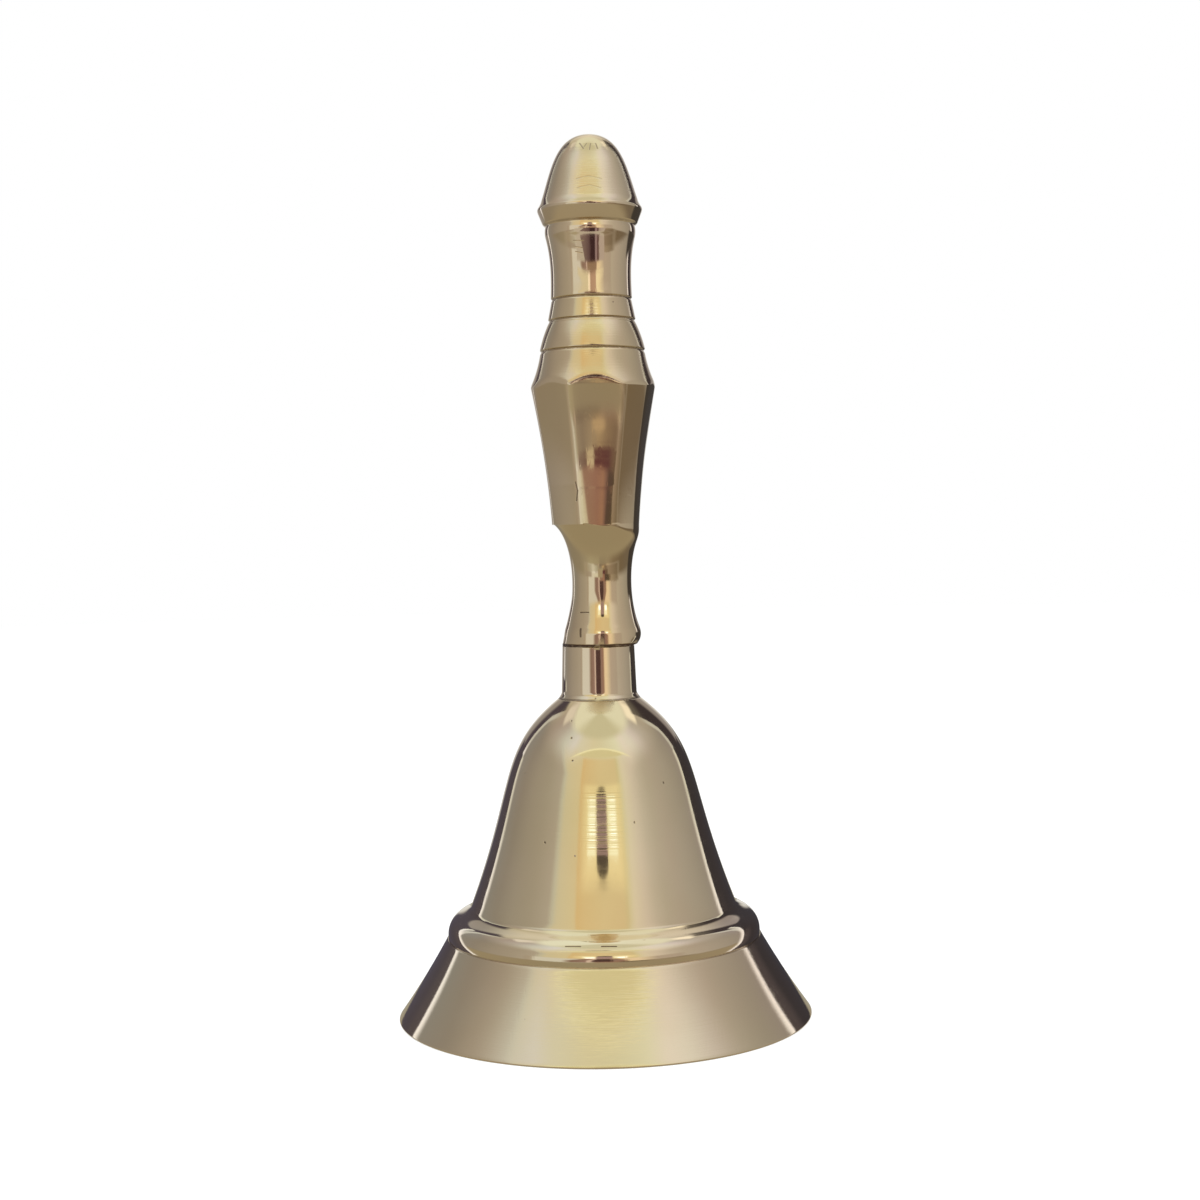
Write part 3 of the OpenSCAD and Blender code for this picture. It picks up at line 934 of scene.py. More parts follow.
        # Only the side that stands out is rolled under; the rest of the foot runs almost straight down
        bead_z = self.seam_z + self.foot_bead_h
        bead = np.interp(bead_z, line[:, 1], line[:, 0])
        straight = np.where(z < bead_z, bead + (bead_z - z) * self.foot_draft, radius)
        start, width = self.rolled
        radius = straight + (radius - straight) * np.clip((np.cos(angle) - start) / width, 0.0, 1.0)
        across = self.waist_shift * np.sin(angle)
        out = self.waist_shift * np.cos(angle) + np.sqrt(np.maximum(radius ** 2 - across ** 2, 0.0))
        # The foot is turned true to the neck at the seam
        true = self.neck_top_r - self.foot_undercut * (z - self.seam_z) / self.foot_h
        return -smoothest(-out, -true, self.foot_blend)

    def _ground_radius(self, facet: Facet, angle: np.ndarray, z: np.ndarray) -> np.ndarray:
        """How far out a facet's surface stands in each direction.

        Args: facet, angle, direction of each point from +X in radians, and z, its height. Returns: its
        distance from the axis, or a large length where the facet doesn't reach.
        """
        foot, top = self.body_foot_r - facet.foot, self.shoulder_r - facet.top
        t = (z - self.body_z) / self.body_h
        chord = math.hypot(self.body_h, top - foot)
        sag = chord ** 2 / (8 * self.wheel_r)
        flat = foot + (top - foot) * t - 4 * sag * t * (1 - t)
        blank = self.body_foot_r + (self.shoulder_r - self.body_foot_r) * np.clip(t, 0, 1)
        half = np.sqrt(np.maximum(blank ** 2 - flat ** 2, 0.0))
        # The buffing wheel leaves each facet a little round across, more so at its narrow foot
        crown = self.crown_r[0] + (self.crown_r[1] - self.crown_r[0]) * np.clip(t, 0, 1)
        lift = np.minimum(half, self.facet_half) ** 2 / (2 * crown)
        turn = angle - math.radians(facet.direction - 90.0)
        turn = (turn + math.pi) % TURN - math.pi
        cos, bow = np.cos(turn), np.sin(turn) ** 2 / (2 * crown)
        with np.errstate(invalid="ignore", divide="ignore"):
            out = np.where(
                bow < 1e-6, (flat + lift) / np.maximum(cos, 1e-3),
                (-cos + np.sqrt(cos ** 2 + 4 * bow * (flat + lift))) / (2 * bow),
            )
        reaches = (np.abs(turn) < self.facet_reach) & (z > self.body_z - self.run_out) & (z < self.collar_z)
        return np.where(reaches, out, OUT_OF_REACH)

    def _grind(self, piece: Piece) -> None:
        """Casts the waist off the axis and grinds the facets. Args: piece, the turned blank."""
        points = Bench.points(piece)
        x, y, z = points.T
        radius, angle = np.hypot(x, y), np.arctan2(y, x)
        skin = (radius > self.bore_r + 0.3) & (z > self.seam_z - 0.01)
        blank = radius.copy()
        low = skin & (z <= self.body_z + 1e-4)
        blank[low] = self._waist_radius(angle[low], z[low])
        out = blank.copy()
        for facet in self.ground:
            out = smoothest(out, self._ground_radius(facet, angle, z), self.edge)
        out = np.where(skin & (z < self.collar_z - 0.6), out, blank)
        scale = np.where(radius > TINY, out / np.maximum(radius, TINY), 1.0)
        points[:, :2] *= scale[:, None]
        Bench.reshape(piece, points)

    def build(self) -> Piece:
        """Turns the blank, grinds it and dresses it. Returns: the piece."""
        piece = Bench.turned("handle_ground", self.outline(), self.facets)
        self._grind(piece)
        return Bench.finish(piece, 60.0, Body.BELL, Slot.HANDLE, "handle", self.brass.material())


# Bolt, nut, washer and clapper


@dataclass
class Suspension:
    """The eye bolt with its nut and washer, and the link, rod and ball that hang in it."""

    ceiling_z: float = 46.3
    seam_z: float = 58.8
    stud_r: float = 2.0
    stud_grip: float = 12.0
    stud_tail: float = 2.0
    pitch: float = 0.7
    thread: tuple[Point, ...] = ((-0.04, 0.05), (-0.24, 0.28), (0.0, 0.05), (0.24, 0.27), (0.04, 0.05))
    eye_r: float = 3.0
    eye_wire_r: float = 1.2
    washer_t: float = 0.8
    washer_r: float = 4.5
    nut_af: float = 7.0
    nut_h: float = 3.2
    link_r: float = 3.4
    link_wire_r: float = 0.8
    butt_w: float = 0.12
    butt_pinch: float = 0.10
    loop_r: float = 2.5
    rod_r: float = 0.9
    rod_l: float = 16.5
    ball_r: float = 5.6
    ball_flat_r: float = 2.0
    head_r: float = 1.6
    head_h: float = 0.9
    hang_gap: float = 0.12
    steel: Steel = field(default_factory=lambda: Steel("drawn_steel"))
    ball_brass: Brass = field(default_factory=lambda: Brass(
        "ball_brass", base=(0.66, 0.50, 0.27), deep=(0.52, 0.37, 0.18), roughness=0.24, line_slope=3.0,
        scratch=2.0,
    ))

    @property
    def nut_z(self) -> float:
        """Height of the nut's lower face."""
        return self.ceiling_z - self.washer_t - self.nut_h

    @property
    def eye_z(self) -> float:
        """Height of the eye's middle."""
        return self.nut_z - self.stud_tail - self.eye_r

    @property
    def link_z(self) -> float:
        """Height of the link's middle."""
        return self.eye_z - self.eye_r + self.eye_wire_r + self.hang_gap + self.link_wire_r - self.link_r

    @property
    def loop_z(self) -> float:
        """Height of the middle of the rod's loop."""
        return self.link_z - self.link_r + self.link_wire_r + self.hang_gap + self.rod_r - self.loop_r

    @property
    def ball_z(self) -> float:
        """Height of the ball's middle."""
        return self.loop_z - self.loop_r - self.rod_l

    @property
    def ball_ends(self) -> Point:
        """Heights of the ball's filed flats."""
        half = math.sqrt(self.ball_r ** 2 - self.ball_flat_r ** 2)
        return self.ball_z - half, self.ball_z + half

    def _thread(self, low: float, high: float) -> Piece:
        """A threaded length of stud with both ends closed. Args: its heights. Returns: it."""
        point, line = (self.stud_r, low), [(self.stud_r, low)]
        for out, up in self.thread:
            point = (point[0] + out, point[1] + up)
            line.append(point)
        piece = Bench.strand("stud_thread", line)
        bpy.ops.object.mode_set(mode="OBJECT")
        Bench.modifier(
            piece, "SCREW", axis="Z", angle=TURN, screw_offset=self.pitch * MM, steps=40, render_steps=40,
            iterations=int((high - low) / self.pitch), use_merge_vertices=True, merge_threshold=TINY,
        )
        bpy.ops.object.mode_set(mode="EDIT")
        bpy.ops.mesh.select_all(action="SELECT")
        bpy.ops.mesh.remove_doubles(threshold=MERGE)
        bpy.ops.mesh.select_all(action="DESELECT")
        bpy.ops.mesh.select_non_manifold(extend=False)
        bpy.ops.mesh.fill_holes(sides=0)
        Bench.close()
        return piece

    def _eye_bolt(self) -> Piece:
        """The threaded stud, drawn down to its closed eye. Returns: the piece."""
        top = self.seam_z + self.stud_grip
        thread = self._thread(self.nut_z - self.stud_tail / 3, top - 0.3)
        collar_z = self.eye_z + self.eye_r
        neck_r, core_r, neck_z = self.eye_wire_r, self.stud_r - 0.28, collar_z + 1.6
        drawn = curve(
            (neck_r, collar_z), (neck_r, collar_z + 0.6), (core_r - 0.02, collar_z + 1.0),
            (core_r, collar_z + 1.35), 10,
        )
        ends = (0.0, collar_z - 0.6), (neck_r, collar_z - 0.5), (core_r, neck_z), (0.0, neck_z)
        neck = Bench.turned("eye_neck", [*ends[:2], *drawn, *ends[2:]], 64)
        eye = Bench.ring("eye_ring", self.eye_r, self.eye_wire_r, self.eye_z, QUARTER)
        piece = Bench.join("eye_bolt_threaded", thread, neck, eye)
        return Bench.finish(piece, 40.0, Body.BELL, Slot.STEEL, "eye_bolt", self.metal)

    def _washer(self) -> Piece:
        """The washer, with its punched edges. Returns: the piece."""
        low, high = self.ceiling_z - self.washer_t, self.ceiling_z
        inner, outer = self.stud_r + 0.2, self.washer_r
        piece = Bench.turned("washer_punched", [
            (inner, low + 0.1), (inner, high - 0.02), (inner + 0.02, high), (outer - 0.12, high),
            (outer, high - 0.12), (outer, low + 0.22), (outer - 0.06, low + 0.07), (outer - 0.2, low),
            (inner + 0.1, low), (inner, low + 0.1),
        ], 96)
        return Bench.finish(piece, 40.0, Body.BELL, Slot.STEEL, "crown_washer", self.metal)

    def _nut(self) -> Piece:
        """The hexagon nut, with turned chamfers and an open bore. Returns: the piece."""
        corner = self.nut_af / math.sqrt(3)
        Bench.pick()
        bpy.ops.mesh.primitive_cylinder_add(
            vertices=6, radius=corner * MM, depth=self.nut_h * MM,
            location=(0, 0, (self.nut_z + self.nut_h / 2) * MM), rotation=(0, 0, QUARTER),
        )
        piece = Bench.fresh("nut_chamfered")
        rise = corner - self.nut_af / 2
        low, high = self.nut_z, self.nut_z + self.nut_h
        cone = Bench.turned("nut_cone", [
            (0.0, low), (self.nut_af / 2, low), (corner + 0.01, low + rise), (corner + 0.01, high - 0.05),
            (corner - 0.1, high + 0.01), (0.0, high + 0.01),
        ], 96)
        r, past = self.stud_r, 0.5
        bore = Bench.turned("nut_bore", [
            (0.0, low - past), (r + 0.5, low - past), (r + 0.4, low), (r + 0.05, low + 0.35),
            (r + 0.05, high + past), (0.0, high + past),
        ], 64)
        Bench.modifier(piece, "BOOLEAN", operation="INTERSECT", object=cone, solver="EXACT")
        Bench.modifier(piece, "BOOLEAN", operation="DIFFERENCE", object=bore, solver="EXACT")
        for tool in (cone, bore):
            bpy.data.objects.remove(tool)
        angle = math.radians(25)
        Bench.modifier(piece, "BEVEL", width=0.05 * MM, segments=2, limit_method="ANGLE", angle_limit=angle)
        return Bench.finish(piece, 35.0, Body.BELL, Slot.STEEL, "crown_nut", self.metal)

    def _link(self) -> Piece:
        """The round link, pinched at the butt seam of its wire. Returns: the piece."""
        piece = Bench.ring("link_bent", self.link_r, self.link_wire_r, self.link_z, 0.0, 144)
        points = Bench.points(piece)
        shift = points - np.array((-self.link_r, 0.0, self.link_z))
        near = (np.linalg.norm(shift, axis=1) < 2 * self.link_wire_r) & (np.abs(shift[:, 2]) < self.butt_w)
        points[near, :2] -= self.butt_pinch * shift[near, :2]
        Bench.reshape(piece, points)
        return Bench.finish(piece, 40.0, Body.LINK, Slot.STEEL, "clapper_link", self.metal)

    def _rod(self) -> Piece:
        """The clapper's rod: loop, shank, upset collar and peened head. Returns: the piece."""
        low, high = self.ball_ends
        loop = Bench.ring("rod_loop", self.loop_r, self.rod_r, self.loop_z, QUARTER)
        head, tall = self.head_r, self.head_h
        shank = Bench.turned("rod_shank", softened([
            (0.0, low - tall), (head * 0.55, low - tall), (head * 0.85, low - tall * 0.7),
            (head, low - tall * 0.3), (head * 0.97, low - 0.02), (self.rod_r, low),
            (self.rod_r, high), (head * 0.97, high + 0.02), (head, high + tall * 0.5),
            (head * 0.82, high + tall * 0.9), (self.rod_r, high + tall),
            (self.rod_r, self.loop_z - self.loop_r), (0.0, self.loop_z - self.loop_r + 0.2),
        ], 0.06), 64)
        piece = Bench.join("rod_peened", loop, shank)
        return Bench.finish(piece, 45.0, Body.CLAPPER, Slot.STEEL, "clapper_rod", self.metal)

    def _ball(self) -> Piece:
        """The drilled brass ball, with filed flats. Returns: the piece."""
        flat = math.asin(self.ball_flat_r / self.ball_r)
        arc = [
            (self.ball_r * math.sin(a), self.ball_z - self.ball_r * math.cos(a))
            for a in np.linspace(flat, math.pi - flat, 72)
        ]
        bore = self.rod_r + 0.03
        low, high = self.ball_ends
        line = [(bore, high), (bore, low)] + softened(arc, 0.05, 8.0) + [(bore, high)]
        piece = Bench.turned("ball_drilled", line, 128)
        brass = self.ball_brass.material()
        return Bench.finish(piece, 30.0, Body.CLAPPER, Slot.CLAPPER, "clapper_ball", brass)

    def build(self) -> list[Piece]:
        """Makes all six pieces. Returns: them."""
        self.metal = self.steel.material()
        return [self._eye_bolt(), self._washer(), self._nut(), self._link(), self._rod(), self._ball()]


# The studio


@dataclass
class Studio:
    """A pale light tent with a white floor, and the camera at the photograph's place."""

    distance: float = 0.304
    eye_h: float = 0.07706
    lens: float = 57.0
    sensor: float = 36.0
    roll: float = 1.15
    shift: Point = (0.0033, -0.0583)
    floor_r: float = 1.5
    mouth_r: float = 0.0300
    curtain_r: float = 50.0
    curtain_h: float = 58.0
    curtain_reach: float = 49.0
    flag_span: Point = (58.0, 127.0)
    flag_y: float = -0.060
    flag_w: float = 0.12
    flag_reach: float = 69.0

    def camera(self) -> None:
        """Places the camera, level and a little rolled, as the photograph was taken."""
        data = bpy.data.cameras.new("camera")
        data.lens, data.sensor_width, data.clip_start = self.lens, self.sensor, 0.01
        data.shift_x, data.shift_y = self.shift
        camera = bpy.data.objects.new("camera", data)
        bpy.context.scene.collection.objects.link(camera)
        cos, sin = math.cos(math.radians(self.roll)), math.sin(math.radians(self.roll))
        turn = Matrix(((cos, 0, -sin), (sin, 0, cos), (0, -1, 0))).transposed().to_4x4()
        camera.matrix_world = Matrix.Translation((0, -self.distance, self.eye_h)) @ turn
        bpy.context.scene.camera = camera

    def world(self) -> None:
        """White behind the object, and the inside of the light tent for what the brass reflects."""
        world = bpy.data.worlds.new("light_tent")
        bpy.context.scene.world = world
        tree = Tree(world)
        seen = tree.node("LightPath").at("Is Camera Ray")
        x, y, z = tree.axes(tree.node("TexCoord").at("Generated"))
        turn = x.turn_of(y * -1) * DEGREES
        high = z.smaller(0.9999).larger(-0.9999).arcsine() * DEGREES
        light = tree.mix(seen.at("Is Glossy Ray"), (0.9, 0.9, 0.9), self._tent(tree, turn, high))
        tree.end(tree.node("Background", None, tree.mix(seen, light, (1, 1, 1)), 1))

    # Directions are in degrees: turn round from the camera, away its size, and high. right is 1 on the right
    # side and 0 on the left
    def _tent(self, tree: Tree, turn: Sock, high: Sock) -> Sock:
        """The tent's inside. Args: tree, turn, round from the camera, and high. Returns: its light."""
        away = turn.abs()
        right = turn.rise(-20, 20)
        light = self._walls(tree, turn, high, away)
        light = self._arch(tree, turn, high, away, light)
        light = self._back(tree, high, away, right, light)
        light = self._glow(tree, turn, high, light)
        light = self._level(tree, turn, high, away, light)
        light = self._slot(tree, turn, high, light)
        return self._below(tree, turn, high, away, right, light)

    def _walls(self, tree: Tree, turn: Sock, high: Sock, away: Sock) -> Sock:
        """The cloth walls, their amber lit front between cream sides, and the paler cloth above.

        Args: tree, the directions. Returns: the new light.
        """
        lean = (high - 28).larger(0)
        bent = turn + lean * 1.1 * turn.fall(-45, -30) - lean * 0.8 * turn.rise(34, 50)
        low = bent.ramp(
            (-180, 86, 86, 82), (-171, 80, 80, 78), (-160, 36, 35, 36), (-130, 31, 33, 37),
            (-110, 33, 33, 35), (-90, 40, 40, 41), (-70, 45, 45, 45), (-53, 52, 52, 53), (-48.5, 66, 72, 72),
            (-44, 76, 77, 66), (-27.5, 82, 79, 60), (-25.5, 83, 69, 43), (-19, 84, 73, 48), (0, 84, 78, 55),
            (19, 82, 76, 54), (22.5, 78, 76, 54), (25.5, 82, 85, 70), (30, 86, 88, 84), (40, 77, 77, 80),
            (50, 64, 65, 67), (60, 56, 57, 58), (75, 51, 51, 53), (90, 46, 47, 49), (110, 39, 40, 42),
            (122, 36, 36, 40), (158, 34, 33, 36), (169, 78, 79, 78), (180, 86, 86, 82),
        )
        upper = turn.ramp(
            (-180, 92, 93, 88), (-165, 85, 86, 82), (-135, 60, 60, 54), (-120, 47, 45, 46),
            (-110, 47, 45, 48), (-90, 56, 58, 64), (-70, 72, 82, 92), (-52, 83, 91, 108), (-40, 83, 89, 88),
            (-15, 83, 86, 74), (0, 82, 87, 75), (20, 86, 95, 86), (30, 89, 100, 93), (45, 93, 98, 108),
            (60, 87, 95, 105), (75, 78, 81, 96), (90, 61, 64, 71), (110, 51, 52, 53), (122, 55, 55, 54),
            (165, 85, 86, 82), (180, 92, 93, 88),
        )
        front = away.fall(24, 40)
        light = tree.mix(front * high.rise(39.5, 44.5) + (1 - front) * high.rise(30, 52), low, upper)
        roof = tree.mix(away.rise(40, 85), (0.70, 0.75, 0.63), (0.90, 1.00, 0.94))
        return tree.mix(high.rise(58, 67), light, roof)

    def _arch(self, tree: Tree, turn: Sock, high: Sock, away: Sock, light: Sock) -> Sock:
        """The greenish top of the lit front, under its bright bowed edge.

        Args: tree, the directions, and the light so far. Returns: the new light.
        """
        edge = high - 51.5 + turn * turn * 0.0055
        green = high.rise(41.5, 44) * edge.fall(-1.2, -0.3) * away.fall(32, 44)
        light = tree.mix(green, light, (0.80, 0.82, 0.60))
        line = edge.abs().fall(0.3, 1.3) * away.fall(36, 52)
        return tree.mix(line, light, (1.08, 1.16, 0.90))

    def _back(self, tree: Tree, high: Sock, away: Sock, right: Sock, light: Sock) -> Sock:
        """The tent's open back: a bright hem and the dark room beyond it, under a lit roof edge.

        Args: tree, the directions, and the light so far. Returns: the new light.
        """
        left = 1 - right
        edge = left * (138.3 - (high - 34).larger(0) * 0.62) + right * (130.3 - (high - 30).larger(0) * 0.48)
        past = away - edge
        hem = past.rise(-6.5, -3.8) * past.fall(-0.6, 0.2) * high.fall(38, 50)
        shine = tree.mix(high.rise(8, 20), (1.12, 1.22, 1.50), (0.66, 0.73, 0.80))
        light = tree.mix(hem, light, shine)
        roof = high.rise(51.5, 54.5) * high.fall(60, 66) * away.rise(98, 110)
        roof = roof * away.fall(125, 134)
        light = tree.mix(roof, light, tree.mix(right, (0.84, 0.86, 0.88), (1.16, 1.20, 1.16)))
        top = high - left * (46.5 - (away - 136) * 0.27) - right * (53.5 - (away - 124) * 0.1)
        gap = past.rise(-0.3, 0.5) * high.rise(1, 4) * top.fall(-1.5, 2.5) * away.fall(145, 153)
        dark = tree.mix(right, (0.085, 0.075, 0.11), (0.055, 0.048, 0.062))
        dark = tree.mix(high.rise(40, 53), dark, (0.17, 0.17, 0.17))
        return tree.mix(gap, light, dark)

    def _glow(self, tree: Tree, turn: Sock, high: Sock, light: Sock) -> Sock:
        """The lamp glow low in the lit front, with a white hot part on each side of the slot.

        Args: tree, the directions, and the light so far. Returns: the new light.
        """
        glow = high.band(15.5, 25.6, 1.4) * turn.band(-21, 23, 6)
        light = tree.mix(glow * 0.85, light, (1.06, 1.02, 0.70))
        hot = (turn.band(-16, -7.2, 1.2) + turn.band(6.8, 16.5, 1.6)) * high.band(14, 22.8, 0.9)
        light = tree.mix(hot, light, (1.22, 1.36, 1.20))
        core = (turn.band(-14, -6.8, 1) + turn.band(9.5, 15.5, 1)) * high.band(14.2, 18.2, 0.8)
        return tree.mix(core, light, (1.9, 2.1, 2.6))

    def _level(self, tree: Tree, turn: Sock, high: Sock, away: Sock, light: Sock) -> Sock:
        """Level with the bell: a white strip, brown cloth narrowing upwards, a dark slot and cream.

        Args: tree, the directions, and the light so far. Returns: the new light.
        """
        draw = 1 + high.rise(3, 15) * 0.9
        drawn = (turn * draw).smaller(turn.larger(22)).larger(turn.smaller(-34))
        strip = drawn.ramp(
            (-60, 44, 42, 41), (-54, 52, 51, 50), (-51, 78, 85, 93), (-31, 78, 85, 94), (-27, 47, 42, 42),
            (-24, 30, 22, 21), (-13.6, 37, 27, 28), (-12.4, 80, 70, 74), (-9.9, 78, 67, 70),
            (-8.8, 20, 14, 15), (-6.5, 10, 6, 7), (4.5, 10, 6, 6.5), (7, 34, 25, 25), (13.5, 36, 24, 22),
            (16, 55, 45, 36), (18.3, 98, 88, 73), (24, 96, 88, 74), (29, 82, 78, 68), (38, 56, 53, 53),
            (60, 50, 49, 50),
        )
        return tree.mix(high.fall(9, 14.5) * away.fall(56, 62), light, strip)

    def _slot(self, tree: Tree, turn: Sock, high: Sock, light: Sock) -> Sock:
        """The dark slot in the middle of the lit front, round at its top.

        Args: tree, the directions, and the light so far. Returns: the new light.
        """
        top = high - 25.4 + turn * turn * 0.03
        slot = turn.band(-6.2, 5.8, 0.7) * high.rise(10, 13) * top.fall(-0.35, 0.35)
        shade = tree.mix(high.rise(22.2, 22.9), (0.42, 0.33, 0.38), (0.09, 0.08, 0.07))
        return tree.mix(slot, light, shade)

    def _below(self, tree: Tree, turn: Sock, high: Sock, away: Sock, right: Sock, light: Sock) -> Sock:
        """The table in front and what stands on it, as the downward facing facets show it.

        Args: tree, the directions, and the light so far. Returns: the new light.
        """
        table = turn.ramp(
            (-180, 28, 27, 24), (-90, 33, 32, 29), (-60, 40, 39, 34), (-42, 46, 46, 38), (-12, 43, 42, 35),
            (-5, 35, 33, 28), (10, 35, 33, 27), (22, 38, 35, 29), (45, 27, 23, 18), (75, 21, 18, 14),
            (110, 20, 18, 16), (140, 24, 23, 20), (180, 30, 29, 27),
        )
        table = tree.mix(1 - high.rise(-26, -16), table, (0.40, 0.38, 0.31))
        ends = turn.ramp(
            (-60, 43, 41, 36), (-42, 55, 58, 58), (-33, 74, 80, 84), (-20, 54, 58, 56), (-12, 44, 43, 38),
            (-5, 31, 28, 25), (0, 39, 35, 29), (5, 44, 37, 27), (10, 32, 26, 20), (15, 25, 20, 16),
            (20, 30, 25, 21), (25, 38, 33, 29), (60, 23, 20, 16),
        )
        front = away.fall(58, 75)
        light = tree.mix(high.fall(-9, -4) * (1 - front) + high.fall(-16, -13.2) * front, light, table)
        thing = turn.ramp(
            (-60, 42, 41, 39), (-42, 55, 58, 62), (-37, 90, 100, 114), (-27, 95, 106, 122),
            (-23, 62, 65, 69), (-16, 72, 74, 80), (-12.5, 48, 46, 47), (-10.5, 30, 25, 25),
            (-3.6, 22, 16, 15), (-2.8, 68, 64, 50), (1.4, 66, 62, 49), (2, 14, 5.5, 7), (12, 14, 6.5, 8),
            (15, 20, 14, 12), (21.5, 19, 15, 12), (25, 38, 33, 29), (60, 24, 21, 17),
        )
        copper = turn.ramp(
            (-60, 41, 39, 37), (-42, 48, 47, 47), (-36, 80, 86, 92), (-12, 78, 86, 83), (-8.4, 68, 68, 62),
            (-6.8, 38, 27, 24), (3, 37, 23, 21), (8.5, 41, 26, 21), (11, 28, 18, 17), (13.2, 12, 9, 8.5),
            (27, 12, 10, 7.5), (31, 28, 23, 18), (38, 42, 38, 33), (60, 28, 25, 21),
        )
        shown = tree.mix((high + turn * 0.03).rise(-10.6, -10), ends, thing)
        shown = tree.mix((high - turn * 0.02).rise(-8.2, -7.8), shown, copper)
        blob = (turn - 5) * (turn - 5) * 0.06 + (high + 13.3) * (high + 13.3)
        shown = tree.mix(blob.fall(0.2, 1.6) * 0.9, shown, (0.60, 0.50, 0.35))
        floor = high + 3 + turn.fall(-12, -6) * 2.6
        shown_here = front * high.rise(-15.4, -13.4) * floor.fall(-0.5, 0.5)
        light = tree.mix(shown_here, light, shown)
        slit = right * away.rise(113, 121) * away.fall(166, 171) * high.band(-15, 3, 1.5)
        return tree.mix(slit, light, (0.06, 0.058, 0.062))

    def floor(self) -> None:
        """A white floor that keeps the bell's soft shadow and fades out of the brass with distance."""
        Bench.pick()
        bpy.ops.mesh.primitive_circle_add(vertices=96, radius=self.floor_r, fill_type="NGON")
        plate = Bench.fresh("floor")
        tree = Tree.material("floor_white")
        x, y, _ = tree.axes(tree.place())
        far = (x * x + y * y) ** 0.5
        ray = tree.node("LightPath")
        clear = tree.node("BsdfTransparent")
        white = tree.node("AddShader", None, tree.node("BsdfDiffuse", None, (0.40, 0.40, 0.40)),
                          tree.node("Emission", None, (1, 1, 1), 0.66))
        # From below the floor is clear, so that the inside of the bell can be looked at
        seen = tree.blend(tree.node("NewGeometry").at("Backfacing"), white, clear)
        paper = tree.node("Emission", None, (0.38, 0.36, 0.29), 1)
        mirrored = tree.blend(far.rise(0.10, 0.22), paper, clear)
        # Under the mouth it is lit, as its own light would else not reach there
        ground = tree.blend(far.rise(self.mouth_r, self.mouth_r + 0.0005),
                            tree.node("Emission", None, (1, 0.97, 0.90), 1),
                            tree.node("BsdfDiffuse", None, (0.8, 0.8, 0.8)))
        told = tree.blend(ray.at("Is Glossy Ray"), ground, mirrored)
        plate.data.materials.append(tree.end(tree.blend(ray.at("Is Camera Ray"), told, seen)))

    @staticmethod
    def _flag(card: Piece, light: Sock, there: Sock, reach: float) -> None:
        """Gives a card its light where it stands, and shows it to the polished surfaces near it only.

        Args: card, light, its colour, there, 1 where it stands and 0 where it's cut away, and reach, how near
        a surface must be to show it, in mm.
        """
        tree = light.tree
        path = tree.node("LightPath").at("Ray Length") * 1000
        near = there * path.fall(reach - 1, reach + 1)
        shown = tree.blend(near, tree.node("BsdfTransparent"), tree.node("Emission", None, light, 1))
        card.data.materials.append(tree.end(shown))
        card.visible_camera = card.visible_diffuse = card.visible_shadow = card.visible_transmission = False

    def back_curtain(self) -> None:
        """A low dark curtain with a bright hem round the back of the bell, which only its polish shows."""
        Bench.pick()
        bpy.ops.mesh.primitive_cylinder_add(
            vertices=144, radius=self.curtain_r * MM, depth=self.curtain_h * MM, end_fill_type="NOTHING",
            location=(0, 0, self.curtain_h / 2 * MM),
        )
        card = Bench.fresh("back_curtain")
        tree = Tree.material("back_curtain")
        x, y, z = tree.axes(tree.place())
        turn, high = x.turn_of(y * -1) * DEGREES, z * 1000
        away, right = turn.abs(), turn.rise(-5, 5)
        left_edge = high.graph((0, 90), (8, 97.5), (15, 104), (23, 113.5), (30, 116), (46, 119.4), (58, 123))
        right_edge = high.graph((0, 84), (8, 92.5), (15, 96), (25, 103), (32, 107), (50, 113), (58, 115))
        past = away - (left_edge * (1 - right) + right_edge * right)
        top = 51 + right * away.fall(126, 130) * 5
        there = past.rise(-7.5, -1.8) * (high - top).fall(-0.5, 0.5) * away.fall(139, 143)
        shine = tree.mix(high.rise(20, 38), (1.15, 1.24, 1.50), (0.84, 0.92, 0.98))
        dark = tree.mix(right, (0.088, 0.082, 0.115), (0.05, 0.048, 0.062))
        dark = tree.mix(past.fall(4, 16) * high.fall(16, 26) * 0.6, dark, (0.12, 0.11, 0.14))
        self._flag(card, tree.mix(past.rise(-0.6, 0.2), shine, dark), there, self.curtain_reach)

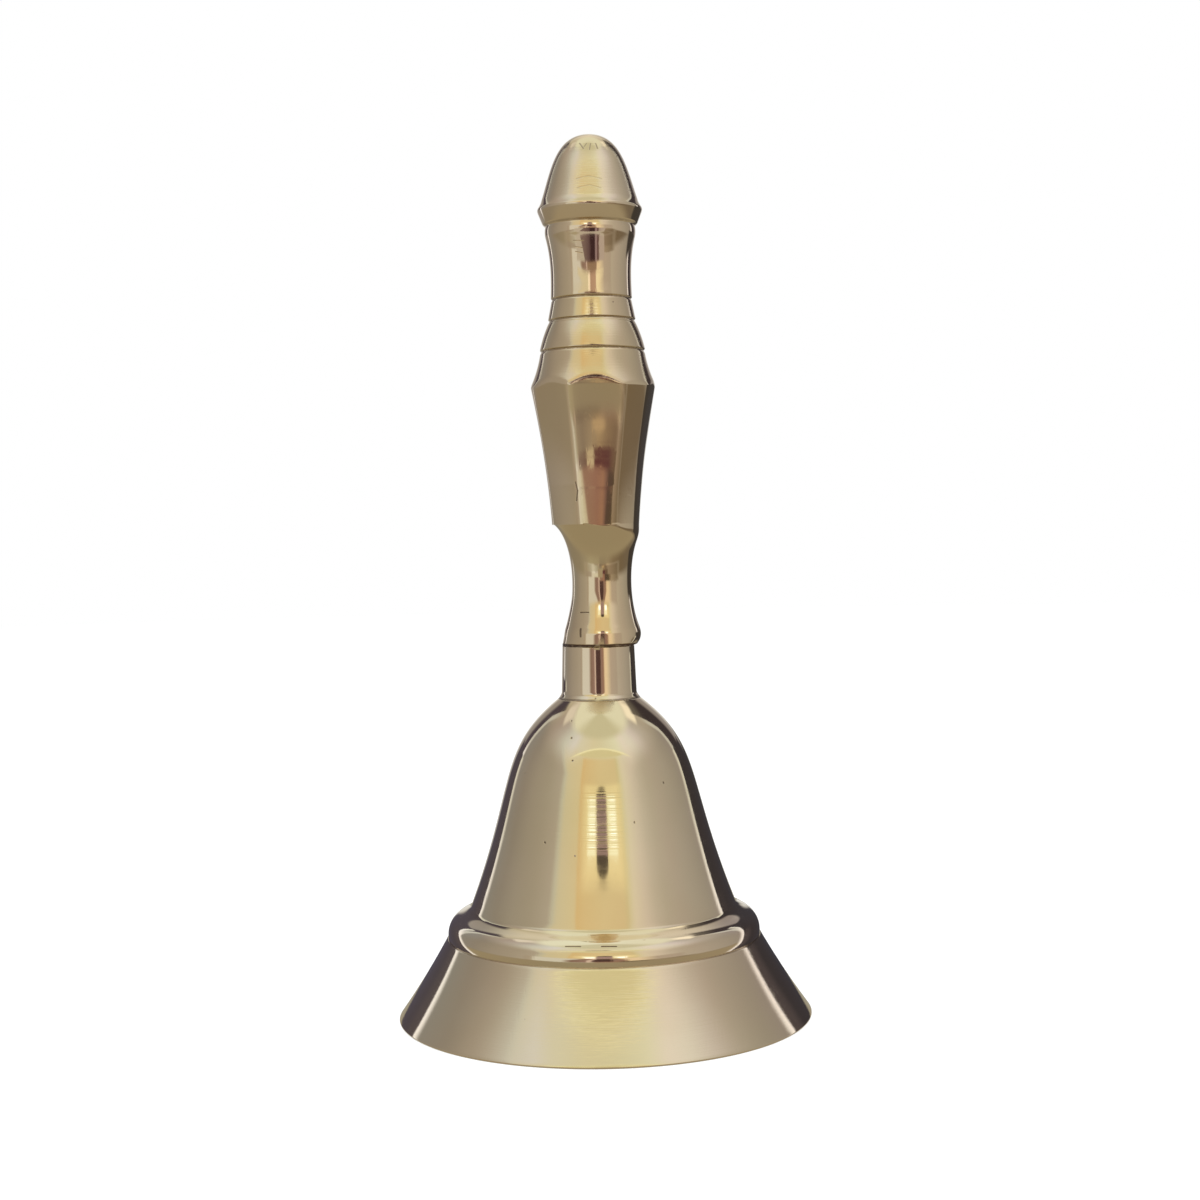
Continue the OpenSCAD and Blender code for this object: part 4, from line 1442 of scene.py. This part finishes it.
    def front_flag(self) -> None:
        """A thin card in front of the handle, clear but for what only the grip and only the waist show."""
        low, top = (height * MM for height in self.flag_span)
        middle = (0, self.flag_y, (low + top) / 2)
        Bench.pick()
        bpy.ops.mesh.primitive_plane_add(size=1, location=middle, rotation=(QUARTER, 0, 0))
        card = Bench.fresh("front_flag")
        bpy.ops.object.mode_set(mode="EDIT")
        bpy.ops.mesh.select_all(action="SELECT")
        bpy.ops.transform.resize(value=(self.flag_w, 1, top - low), center_override=middle)
        bpy.ops.object.mode_set(mode="OBJECT")
        tree = Tree.material("front_flag")
        x, _, z = tree.axes(tree.place())
        across, high = x * 1000, z * 1000
        coat = across.ramp(
            (-58, 60, 61, 63), (-32, 62, 65, 68), (-30, 26, 21, 23), (-16, 23, 18, 20), (-5, 16, 11.5, 14),
            (-1, 11, 7, 9), (0.5, 6, 3.4, 4.5), (11, 5.5, 3, 4), (12.8, 17, 12, 15), (14.5, 40, 33, 42),
            (17.6, 36, 28, 35), (18.8, 15, 9.5, 11), (24, 20, 14, 15), (25.5, 54, 51, 56), (58, 55, 52, 55),
        )
        strip = across.ramp(
            (-52, 82, 82, 70), (-9, 83, 83, 71), (-7.4, 125, 122, 115), (-3, 115, 110, 105),
            (-1.8, 56, 42, 37), (13, 60, 45, 40), (15.5, 110, 109, 92), (26, 104, 102, 82), (30, 92, 91, 78),
            (40, 80, 78, 68),
            span=(-52, 48),
        )
        edge = -29.5 + (high - 106.6) * 0.94
        in_shape = (across - edge).rise(-0.8, 0.8) * high.rise(106.7, 107.2)
        shaped = tree.mix(in_shape, (0.60, 0.61, 0.63), coat)
        in_coat = high.band(104.6, 121.2, 0.4) * across.band(-58, 58, 2)
        patch = across.band(-10, 16.5, 1) * high.band(121.2, 124, 0.3)
        in_strip = across.band(-48, 44, 8) * high.band(124, 126.6, 0.3)
        # Only the waist, and not the bell, is so far from the lowest band
        path = tree.node("LightPath").at("Ray Length") * 1000
        plain = high.band(59.4, 64.3, 0.3) * across.band(-14, 4, 2) * path.rise(53.2, 53.8)
        light = tree.mix(patch, tree.mix(in_strip, shaped, strip), (0.36, 0.27, 0.22))
        light = tree.mix(plain, light, (0.45, 0.42, 0.34))
        self._flag(card, light, in_coat.larger(patch).larger(in_strip).larger(plain), self.flag_reach)

    def lamps(self) -> None:
        """One large soft lamp overhead and one at each side, which only the floor and dull metal feel."""
        middle = Vector((0, 0, 0.06))
        for name, place, size, power in (
            ("roof_lamp", (0, -0.1, 0.7), 0.7, 3), ("left_lamp", (-0.6, -0.4, 0.35), 0.4, 1.2),
            ("right_lamp", (0.6, -0.3, 0.3), 0.4, 0.9),
        ):
            data = bpy.data.lights.new(name, "AREA")
            data.size, data.energy = size, power
            lamp = bpy.data.objects.new(name, data)
            turn = (Vector(place) - middle).to_track_quat("Z", "Y").to_matrix().to_4x4()
            lamp.matrix_world = Matrix.Translation(place) @ turn
            lamp.visible_glossy = False
            bpy.context.scene.collection.objects.link(lamp)

    def build(self) -> None:
        """Sets up the camera, the light and the floor."""
        for step in (self.camera, self.world, self.floor, self.back_curtain, self.front_flag, self.lamps):
            step()
        bpy.context.scene.view_settings.view_transform = "Standard"


def main() -> None:
    """Builds the studio and every piece in order."""
    logging.basicConfig(level=logging.INFO, format="%(name)s %(message)s")
    for maker in (Studio, BellShell, GroundHandle, Suspension):
        maker().build()


if __name__ == "__main__":
    main()
